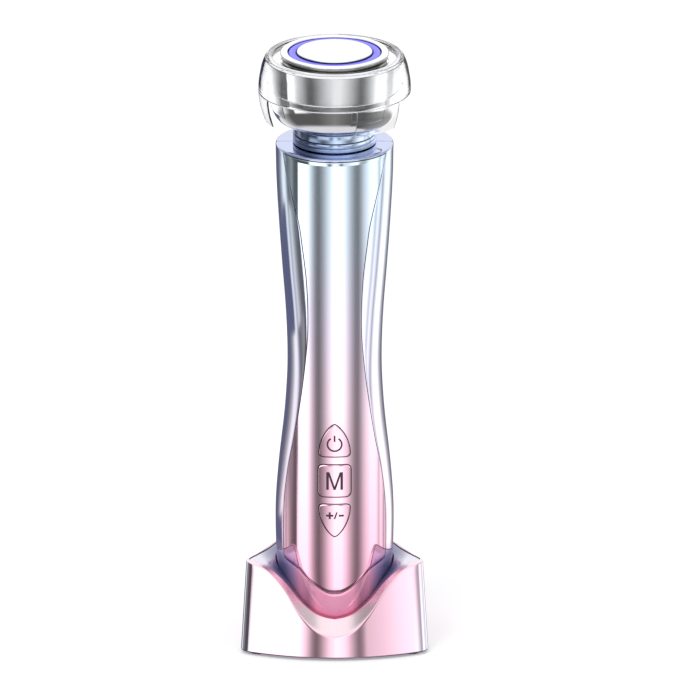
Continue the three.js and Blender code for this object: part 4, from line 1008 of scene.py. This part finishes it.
def plug(tree, socket, value):
    if isinstance(value, bpy.types.NodeSocket):
        tree.links.new(value, socket)
    else:
        socket.default_value = colour(value) if isinstance(value, str) else value


def maths(tree, operation, first, second=0.0, third=0.0, clamped=False):
    made = add_node(tree, "ShaderNodeMath", operation=operation, use_clamp=clamped)
    for socket, value in zip(made.inputs, (first, second, third)):
        plug(tree, socket, value)
    return made.outputs[0]


def colour(text, alpha=1.0):
    """A written colour as linear numbers."""
    parts = [int(text[i:i + 2], 16) / 255 for i in (1, 3, 5)]
    line = [c / 12.92 if c <= 0.04045 else ((c + 0.055) / 1.055) ** 2.4 for c in parts]
    return (*line, alpha)


def tone_of(tone):
    """A written colour, a level of grey or three linear numbers, as four numbers."""
    if isinstance(tone, str):
        return colour(tone)
    return (*tone, 1) if isinstance(tone, tuple) else (tone, tone, tone, 1)


def ramp(tree, value, stops):
    """A colour ramp over (place, colour) stops."""
    made = add_node(tree, "ShaderNodeValToRGB", {"Fac": value})
    elements = made.color_ramp.elements
    while len(elements) < len(stops):
        elements.new(0.5)
    for element, (place, tone) in zip(elements, stops):
        element.position = place
        element.color = tone_of(tone)
    return made.outputs[0]


# The sockets of a colour mix for its share and its two colours, and the one for its result
MIX_INPUTS = (0, 6, 7)
MIX_RESULT = 2


def mix(tree, share, first, second):
    inputs = zip(MIX_INPUTS, (share, first, second))
    return add_node(tree, "ShaderNodeMix", inputs, data_type="RGBA").outputs[MIX_RESULT]


def between(tree, value, low, high):
    """Rises smoothly from 0 to 1 between two values."""
    return add_node(tree, "ShaderNodeMapRange", {"Value": value, "From Min": low, "From Max": high},
                    interpolation_type="SMOOTHSTEP").outputs[0]


FINISHES = {}


class Finish:
    """A material with one Principled shader, and the sockets that its looks are built from."""

    def __init__(self, name, roughness=0.3, metallic=0.0, **sockets):
        FINISHES[name] = material = bpy.data.materials.new(name)
        material.use_nodes = True
        self.tree = material.node_tree
        self.place = add_node(self.tree, "ShaderNodeTexCoord").outputs["Object"]
        self.x, self.y, self.z = add_node(self.tree, "ShaderNodeSeparateXYZ", {0: self.place}).outputs
        self.set(Roughness=roughness, Metallic=metallic, **sockets)

    def set(self, **sockets):
        for key, value in sockets.items():
            plug(self.tree, self.tree.nodes["Principled BSDF"].inputs[key.replace("_", " ")], value)

    def share(self, value, low, high):
        """A length as a share between two others in millimetres."""
        span = high - low
        return maths(self.tree, "MULTIPLY_ADD", value, 1 / (span * MM), -low / span, clamped=True)

    def up(self, low, high):
        """The height as a share between two heights."""
        return self.share(self.z, low, high)

    def aside(self, half_width):
        """The distance from the middle as a share of a half width."""
        return maths(self.tree, "DIVIDE", maths(self.tree, "ABSOLUTE", self.x), half_width * MM, clamped=True)

    def reach(self):
        """The distance from the axis."""
        square = maths(self.tree, "MULTIPLY", self.y, self.y)
        return maths(self.tree, "SQRT", maths(self.tree, "MULTIPLY_ADD", self.x, self.x, square))

    def noise(self, scale):
        inputs = {"Vector": self.place, "Scale": scale}
        return add_node(self.tree, "ShaderNodeTexNoise", inputs).outputs["Fac"]

    def coat(self, tone, low, high, grain, bump_grain=0, strength=0.01):
        """Sets the tone and a roughness that varies between two, with a fine bump if it has a grain."""
        rough = maths(self.tree, "MULTIPLY_ADD", self.noise(grain), high - low, low)
        self.set(Base_Color=tone, Roughness=rough)
        if bump_grain:
            inputs = {"Height": self.noise(bump_grain), "Strength": strength, "Distance": BUMP_DISTANCE * MM}
            self.set(Normal=add_node(self.tree, "ShaderNodeBump", inputs).outputs[0])


def panel_finish():
    made = Finish("panel_gloss", metallic=1.0)
    made.coat(ramp(made.tree, made.up(0, SHOULDER), [
        (0.0, (0.95, 0.5, 0.68)), (0.16, (1, 0.56, 0.72)), (0.28, (1, 0.63, 0.77)), (0.42, (1, 0.72, 0.86)),
        (0.52, (1, 0.79, 0.92)), (0.66, (0.92, 0.83, 1)), (0.82, (0.79, 0.87, 1)), (1.0, (0.74, 0.88, 1)),
    ]), 0.05, 0.08, 900, 2500)


# The foot's tone, rose with painted reflections, gives way to the wand's between two heights, and between two
# depths from the front
FOOT_TONE_HEIGHTS = (29.0, 37.0)
FOOT_TONE_DEPTHS = (-7.2, 0.8)
FOOT_METALLIC = 0.25
BUMP_DISTANCE = 0.05


def shell_finish():
    """Chromed plastic. Its foot, inside the cradle's dip, is rose in front, with a painted reflection: a dark
    streak and slate-blue sides.
    """
    made = Finish("shell_plastic", Coat_Weight=0.4, Coat_Roughness=0.02)
    tree = made.tree
    tone = ramp(tree, made.up(0, SHOULDER), [
        (0.0, (1, 0.6, 0.8)), (0.15, (1, 0.68, 0.86)), (0.22, (0.95, 0.78, 0.97)),
        (0.5, (0.88, 0.82, 1)), (0.8, (0.78, 0.84, 1)), (0.985, (0.7, 0.84, 1)), (1.0, (0.52, 0.58, 0.82)),
    ])
    # Painted reflection: a dark streak and dark slate-blue sides across the foot.
    foot = ramp(tree, made.aside(WAND_HALF_WIDTH), [
        (0.0, (1, 0.42, 0.64)), (0.3, (1, 0.42, 0.62)), (0.44, (0.5, 0.22, 0.34)), (0.58, (0.78, 0.34, 0.5)),
        (0.72, (0.42, 0.28, 0.48)), (0.85, (0.17, 0.16, 0.34)), (1.0, (0.15, 0.16, 0.36)),
    ])
    high = maths(tree, "MAXIMUM", made.up(*FOOT_TONE_HEIGHTS), made.share(made.y, *FOOT_TONE_DEPTHS))
    made.set(Metallic=maths(tree, "MULTIPLY_ADD", high, 1 - FOOT_METALLIC, FOOT_METALLIC))
    made.coat(mix(tree, high, foot, tone), 0.04, 0.07, 700, 2500)


def plain_finish(name, tone, roughness, metallic=0.0, grain=1200, strength=0.05, vary=0.05):
    """A plain moulded or metal finish with a fine grain and a slight change of tone and gloss."""
    made = Finish(name, metallic=metallic)
    tone = tone_of(tone)
    dark = (*(c * (1 - vary) for c in tone[:3]), 1)
    mixed = mix(made.tree, made.noise(60), tone, dark)
    made.coat(mixed, roughness * 0.8, roughness * 1.2, grain, grain, strength)


def rim_finish():
    """Chrome with painted shade: its side is dark at the foot, where the ring's lip would shade it."""
    made = Finish("rim_chrome", metallic=1.0)
    made.coat(ramp(made.tree, made.up(FACE_BASE, FACE_TOP), [
        (0.0, (0.9, 0.9, 0.9)), (0.28, (0.5, 0.5, 0.5)), (0.42, (0.1, 0.1, 0.09)), (0.6, (0.16, 0.16, 0.15)),
        (0.82, (0.5, 0.5, 0.5)), (0.93, (0.95, 0.95, 0.96)),
    ]), 0.03, 0.05, 3000)


def cradle_finish():
    """Rose chrome that turns to slate lilac at the corners as a painted reflection, with a painted shadow
    line along its foot.
    """
    made = Finish("cradle_plastic", metallic=1.0)
    tone = ramp(made.tree, made.aside(CRADLE_FOOT[0]), [
        (0.0, (1, 0.63, 0.76)), (0.84, (1, 0.65, 0.79)), (0.93, (0.86, 0.8, 0.92)), (1.0, (0.8, 0.8, 0.94)),
    ])
    # Painted shadow: a dark line along the foot.
    foot = ramp(made.tree, made.up(SKIRT_LOW, SKIRT_LOW + 1.0), [(0.3, 0.0), (0.6, 1.0)])
    made.coat(mix(made.tree, foot, (0.16, 0.13, 0.2, 1), tone), 0.04, 0.06, 1200, 1200)


def clear_finish():
    """Clear, faintly cool plastic."""
    made = Finish("clear_plastic", roughness=0.0, Transmission_Weight=1.0, IOR=1.49)
    made.set(Base_Color=mix(made.tree, made.noise(80), "#ffffff", "#fafbfd"))


def tray_finish():
    """Gloss plastic: rose in the dip and pale lilac out on the wings, with a painted reflection of the wand
    beside it, dark rose low down and dark slate blue higher up.
    """
    made = Finish("tray_plastic", metallic=0.6, Coat_Weight=1.0)
    tree = made.tree
    behind = maths(tree, "MAXIMUM", maths(tree, "SUBTRACT", made.y, WING_START * MM), 0.0)
    share = made.share(maths(tree, "MULTIPLY_ADD", behind, WING_FALL_SHARE, made.z), 12.0, CRADLE_HEIGHT)
    far = ramp(tree, share, [
        (0.0, (0.85, 0.3, 0.48)), (0.08, (0.9, 0.34, 0.52)), (0.35, (0.66, 0.36, 0.52)),
        (0.6, (0.45, 0.36, 0.55)), (0.82, (0.5, 0.47, 0.68)), (0.9, (0.6, 0.57, 0.76)),
        (1.0, (0.68, 0.65, 0.82)),
    ])
    # Painted reflection of the wand on the tray next to it.
    near = ramp(tree, share, [
        (0.0, (0.6, 0.08, 0.22)), (0.12, (0.7, 0.16, 0.32)), (0.35, (0.4, 0.2, 0.36)),
        (0.6, (0.16, 0.14, 0.32)), (1.0, (0.12, 0.13, 0.3)),
    ])
    near_end, far_start = ((WAND_HALF_WIDTH + beyond) * MM for beyond in (2.5, 6.5))
    away = between(tree, made.reach(), near_end, far_start)
    made.coat(mix(tree, away, near, far), 0.08, 0.12, 1200, 1200, 0.03)


def neck_finish():
    """Blue chrome, with painted shade that makes it darker on the left."""
    made = Finish("neck_gloss", metallic=0.95)
    made.coat(ramp(made.tree, made.share(made.x, -COLLAR_RADIUS, COLLAR_RADIUS), [
        (0.0, (0.16, 0.2, 0.32)), (0.3, (0.22, 0.28, 0.42)), (0.48, (0.44, 0.54, 0.74)),
        (0.7, (0.55, 0.66, 0.85)), (0.88, (0.74, 0.85, 1)), (1.0, (0.7, 0.8, 1)),
    ]), 0.12, 0.16, 1200, 1200)


def light_finish():
    made = Finish("light_diffuser", roughness=0.25)
    tone = ramp(made.tree, made.share(made.reach(), LIGHT_INNER, LIGHT_OUTER), [
        (0.0, "#4a46c4"), (0.3, "#5c58dc"), (0.8, "#6a66ea"), (1.0, "#4a46c8"),
    ])
    made.set(Base_Color=tone, Emission_Color=tone, Emission_Strength=0.35)


def disc_finish():
    """White metal, with a painted dark reflection on its side under the bevel."""
    made = Finish("disc_metal", metallic=0.9)
    top = FACE_TOP + DISC_RISE
    made.coat(ramp(made.tree, made.up(top - 1.2, top), [
        (0.0, "#1d2046"), (0.55, "#262a58"), (0.7, "#f4f5f7"), (1.0, "#fbfbfc"),
    ]), 0.1, 0.16, 900)


def make_finishes():
    for make in (panel_finish, shell_finish, disc_finish, light_finish, clear_finish, tray_finish,
                 cradle_finish, rim_finish, neck_finish):
        make()
    plain_finish("button_gloss", (1, 0.64, 0.78), 0.07, 1.0, strength=0.01, vary=0.03)
    plain_finish("chrome", (0.96, 0.96, 0.97), 0.04, 1.0, grain=3000, strength=0.01, vary=0.02)
    plain_finish("band_satin", (1, 0.8, 0.86), 0.26, 1.0, strength=0.02, vary=0.04)
    plain_finish("rubber", "#3a3a3c", 0.8, grain=2500, strength=0.2)
    for name, tone, roughness, metallic in (
        ("seal_rubber", (0.16, 0.19, 0.28), 0.5, 0), ("steel", "#b8babd", 0.3, 1),
        ("gold", "#d9b266", 0.22, 1), ("dark_plastic", "#2b2c30", 0.5, 0),
        ("white_plastic", "#e6e6e4", 0.45, 0), ("circuit_board", "#2f6b45", 0.4, 0),
        ("cell_wrap", "#4c6fae", 0.35, 0), ("mark_ink", "#3c2c36", 0.35, 0.2),
        # painted shade for the sides of grooves and seams
        ("groove_painted_shade", "#4a3842", 0.4, 0.2),
    ):
        plain_finish(name, tone, roughness, metallic)


make_finishes()


def dress_frame():
    """Every piece of the frame gets the finish of its slot."""
    for row in frame["record"]["subparts"]:
        slots = frame["nodes"][row["node"]].data.materials
        slots.clear()
        slots.append(FINISHES["seal_rubber" if row["node"] == "neck_seal" else row["material_slot"]])


def finish_piece(piece, node, body, slot_name, finish=None, angle=40):
    """A fine piece stands for its node, takes its slot's finish and rides on its body."""
    piece.data.materials.clear()
    piece.data.materials.append(FINISHES[finish or slot_name])
    piece.data.polygons.foreach_set("use_smooth", [True] * len(piece.data.polygons))
    piece.data.set_sharp_from_angle(angle=math.radians(angle))
    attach(piece, body)
    if node:
        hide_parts(node)


def build_wand():
    for make, edge in ((front_shell, 0.25), (back_shell, 0.2)):
        shell = bevel(thicken(make(), SHELL_WALL), edge)
        finish_piece(shell, make.__name__, "wand", "shell_plastic")
    panel = bevel(thicken(front_panel(), PANEL_THICKNESS), 0.15, segments=2)
    for name in BUTTONS:
        cut_by(panel, button_hole(name))
    finish_piece(panel, "front_panel", "wand", "panel_gloss")
    # The sides of the panel's seam and of the keys' holes get painted shade.
    dress_faces(panel, "groove_painted_shade", is_upright)
    for name in BUTTONS:
        cap, mark = button_cap(name), thicken(button_mark(name), MARK_DEPTH)
        finish_piece(cap, f"{name}_button", f"{name}_key", "button_gloss")
        # The sides of the key get painted shade.
        dress_faces(cap, "groove_painted_shade", is_upright)
        finish_piece(mark, None, f"{name}_key", "dark_plastic", "mark_ink")


def build_head():
    for make, slot_name, finish in (
        (neck_collar, "shell_plastic", "neck_gloss"), (neck_ring, "shell_plastic", "neck_gloss"),
        (head_cup, "chrome", None), (face_rim, "chrome", "rim_chrome"), (light_ring, "light_diffuser", None),
        (centre_disc, "disc_metal", None),
    ):
        finish_piece(make(), make.__name__, "wand", slot_name, finish, angle=30)
    finish_piece(bevel(clear_ring(), 0.28), "clear_ring", "pad_ring", "clear_plastic", angle=35)


def build_cradle():
    shell = cradle_shell()
    finish_piece(shell, "cradle_shell", "cradle", "cradle_plastic", angle=45)
    dress_faces(shell, "band_satin", is_band)
    finish_piece(cradle_tray(), "cradle_tray", "cradle", "tray_plastic", angle=45)


# Stage

FLOOR_SIDE = 12000.0
FLOOR_HEIGHT = -0.05
# Name, place in metres, size and power
LAMPS = (("key", (-0.7, -0.9, 1.3), 0.9, 9.0), ("fill", (0.9, -0.5, 0.9), 0.8, 3.0))
LAMP_TARGET_HEIGHT = 100.0


def aimed(name, data, place, target):
    """A camera or a lamp at a place, turned to a target, both in metres."""
    made = new_object(name, data)
    made.location = place
    made.rotation_euler = (Vector(target) - made.location).to_track_quat("-Z", "Y").to_euler()
    return made


def build_camera():
    data = bpy.data.cameras.new("photo_camera")
    data.lens = CAMERA_LENS
    data.sensor_width = SENSOR
    data.shift_x = (PHOTO_SIDE / 2 - PHOTO_AXIS_X) / PHOTO_SIDE
    data.shift_y = (PHOTO_AIM_Y - PHOTO_SIDE / 2) / PHOTO_SIDE
    data.clip_end = 20
    place = (0, -CAMERA_FRONT * MM, CAMERA_HEIGHT * MM)
    bpy.context.scene.camera = aimed("photo_camera", data, place, (0, 0, AIM_HEIGHT * MM))


def build_floor():
    half = FLOOR_SIDE / 2
    corners = [(x * half, y * half, FLOOR_HEIGHT) for x, y in ((-1, -1), (1, -1), (1, 1), (-1, 1))]
    floor = mesh_from("floor", corners, [(0, 1, 2, 3)])
    made = Finish("floor_paper", roughness=0.9)
    seen = add_node(made.tree, "ShaderNodeLightPath").outputs["Is Camera Ray"]
    made.set(Base_Color="#e9e9ea", Emission_Color="#ffffff",
             Emission_Strength=maths(made.tree, "MULTIPLY", seen, 0.25))
    floor.data.materials.append(FINISHES["floor_paper"])
    floor.visible_glossy = False
    floor.visible_transmission = False


FAR_DARK = (0.12, 0.13, 0.21)
BRIGHT = (1.1, 1.1, 1.12, 1.0)
UNDERFOOT = (0.72, 0.72, 0.75, 1)
WHITE = (1, 1, 1, 1)
BOUNCED = (0.8, 0.8, 0.8, 1)



def both_sides(*bands):
    """Bands of the right, the same on the left."""
    return [(-turn, level) for turn, level in bands if turn] + list(bands)


# What each zone of the studio shows to glossy surfaces: azimuth in degrees, then brightness
PANEL_BANDS = [
    (-180, FAR_DARK), (-150, FAR_DARK), (-142, 0.24), (-134, 0.5), (-127, 1.0), (-120, 1.0), (-112, 0.3),
    (-107, 0.16), (-100, 0.24), (-93, 0.32), (-86, 0.13), (-77.5, 0.1), (-75, 1.5), (-56, 1.5), (-49, 0.93),
    (-43, 0.52), (-37, 0.24), (-31, 0.17), (-25, 0.31), (-19, 0.54), (-13, 0.84), (-7, 1.1), (0, 1.5),
    (14, 1.5), (22, 1.06), (28, 0.75), (34, 0.475), (41, 0.25), (47, 0.22), (53, 0.415), (60, 0.75),
    (67, 1.0), (76, 1.3), (90, 1.3), (98, 0.7), (104, 1.2), (110, 0.9), (114, 0.46), (119, 0.9), (126, 1.4),
    (138, 1.4), (149, 0.55), (158, 0.25), (168, FAR_DARK), (180, FAR_DARK),
]
LOW_EDGE_BANDS = [
    (-180, FAR_DARK), (-126, FAR_DARK), (-120, 0.95), (-113, 0.5), (-107, 0.75), (-100, 0.4), (-94, 0.19),
    (-88, 0.13), (-82, 0.15), (-78, 1.5),
]
HEAD_BANDS = [
    (-180, 1.2), (-150, 1.4), (-134, 1.3), (-124, 0.8), (-113, 0.35), (-104, 0.1), (-95, 0.05), (-90, 0.08),
    (-87.5, 1.4), (-75, 1.3), (-68, 0.78), (-62, 0.58), (-56, 0.38), (-51, 0.2), (-46, 0.07), (-40, 0.04),
    (-34, 0.13), (-23, 0.39), (-13, 0.64), (0, 0.9), (10, 0.92), (19, 0.71), (29, 0.46), (39, 0.2),
    (45, 0.09), (50, 0.13), (56, 0.3), (62, 0.54), (69, 0.84), (75, 1.2), (96, 1.4), (104, 0.8), (113, 0.74),
    (123, 1.3), (180, 1.3),
]
CRADLE_BANDS = [
    (-75, 0.1), (-52, 0.08), (-46, 1.7), (-19, 1.7), (-16, 1.2), (-13.7, 0.73), (-11.6, 0.32), (-9.5, 0.17),
    (-7.5, 0.33), (-5.4, 0.64), (-3.4, 0.97), (-1.3, 1.27), (0.7, 1.5), (4.8, 1.32), (6.8, 1.04),
    (8.9, 0.68), (11, 0.38), (13, 0.2), (15, 0.37), (17.1, 0.8), (27, 0.98), (34, 1.2), (44, 1.4),
    (50, 0.5), (60, 0.5), (72, 1.3),
]
UPPER_BANDS = [
    (-180, 1.1), (-145, 1.1), (-125, 0.45), (-80, 0.35), (-60, 0.6), (-38, 1.05), (38, 1.05), (60, 0.6),
    (80, 0.6), (125, 0.6), (145, 1.1), (180, 1.1),
]
BOWL_FOOT_BANDS = both_sides((0, 0.25), (12, 0.2), (32, 0.1), (60, 0.09), (180, 0.5))
SMILE_BANDS = both_sides((0, 0.35), (15, 0.4), (50, 0.7), (180, 0.8))
FLOOR_BANDS = both_sides((0, 0.22), (35, 0.1), (95, 0.1), (112, 0.3), (140, 0.8), (180, 0.9))


def with_sides(bands):
    """Bands for the front, with the sides and the back of the panel's bands."""
    return bands + [row for row in PANEL_BANDS if not -76 < row[0] < 75]


def low_panel_bands():
    """The panel's bands as its lower end mirrors them, with another dark band at the left edge."""
    return LOW_EDGE_BANDS + [row for row in PANEL_BANDS if row[0] > -75]


def half_ramps(tree, azimuth, bands):
    """A ramp over the whole turn, made of one for each side."""
    sides = []
    for way in (-1, 1):
        stops = sorted((abs(turn) / 180, level) for turn, level in bands if turn * way >= 0)
        value = maths(tree, "MULTIPLY", azimuth, way / math.pi, clamped=True)
        sides.append(ramp(tree, value, stops))
    return mix(tree, maths(tree, "GREATER_THAN", azimuth, 0.0), *sides)


def build_world():
    """A white studio. What glossy surfaces mirror of it has dark upright bands, as from cards."""
    world = bpy.data.worlds.new("studio")
    bpy.context.scene.world = world
    world.use_nodes = True
    tree = world.node_tree
    tree.nodes.clear()
    direction = add_node(tree, "ShaderNodeTexCoord").outputs["Generated"]
    x, y, z = add_node(tree, "ShaderNodeSeparateXYZ", {0: direction}).outputs
    azimuth = maths(tree, "ARCTAN2", x, maths(tree, "MULTIPLY", y, -1.0))
    level = maths(tree, "ARCSINE", z)
    seen = add_node(tree, "ShaderNodeLightPath").outputs

    def zone(bands):
        return half_ramps(tree, azimuth, bands) if isinstance(bands, list) else bands

    def stacked(lowest, *rows):
        """Zones of light one over the other: between which elevations each fades in, and its bands."""
        light = zone(lowest)
        for low, high, bands in rows:
            light = mix(tree, between(tree, level, math.radians(low), math.radians(high)), light, zone(bands))
        return light

    def after(depth, before, then):
        """The second light for rays that have come by a surface of that kind, the first for others."""
        return mix(tree, maths(tree, "GREATER_THAN", seen[depth], 0.5), before, then)

    direct = stacked(
        UNDERFOOT, (-60, -48, FLOOR_BANDS), (-33.5, -30.5, low_panel_bands()), (-21.1, -20.8, PANEL_BANDS),
        (-17.8, -17.2, with_sides(CRADLE_BANDS)), (-4, 4, stacked(UPPER_BANDS, (45, 65, BRIGHT))))
    through_ring = stacked(SMILE_BANDS, (-64, -58, BOWL_FOOT_BANDS), (-31, -26, HEAD_BANDS), (-12, 0, BRIGHT))
    mirrored = after("Transmission Depth", direct, through_ring)
    light = after("Diffuse Depth", after("Glossy Depth", WHITE, mirrored), BOUNCED)
    background = add_node(tree, "ShaderNodeBackground", {"Color": light, "Strength": 1.0})
    add_node(tree, "ShaderNodeOutputWorld", {"Surface": background.outputs[0]})


def build_lamps():
    for name, place, size, power in LAMPS:
        data = bpy.data.lights.new(name, "AREA")
        data.size = size
        data.energy = power
        lamp = aimed(name, data, place, (0, 0, LAMP_TARGET_HEIGHT * MM))
        lamp.visible_glossy = False
        lamp.visible_transmission = False


build_camera()
dress_frame()
build_wand()
build_head()
build_cradle()
build_floor()
build_world()
build_lamps()

bpy.context.scene.view_settings.view_transform = "Standard"
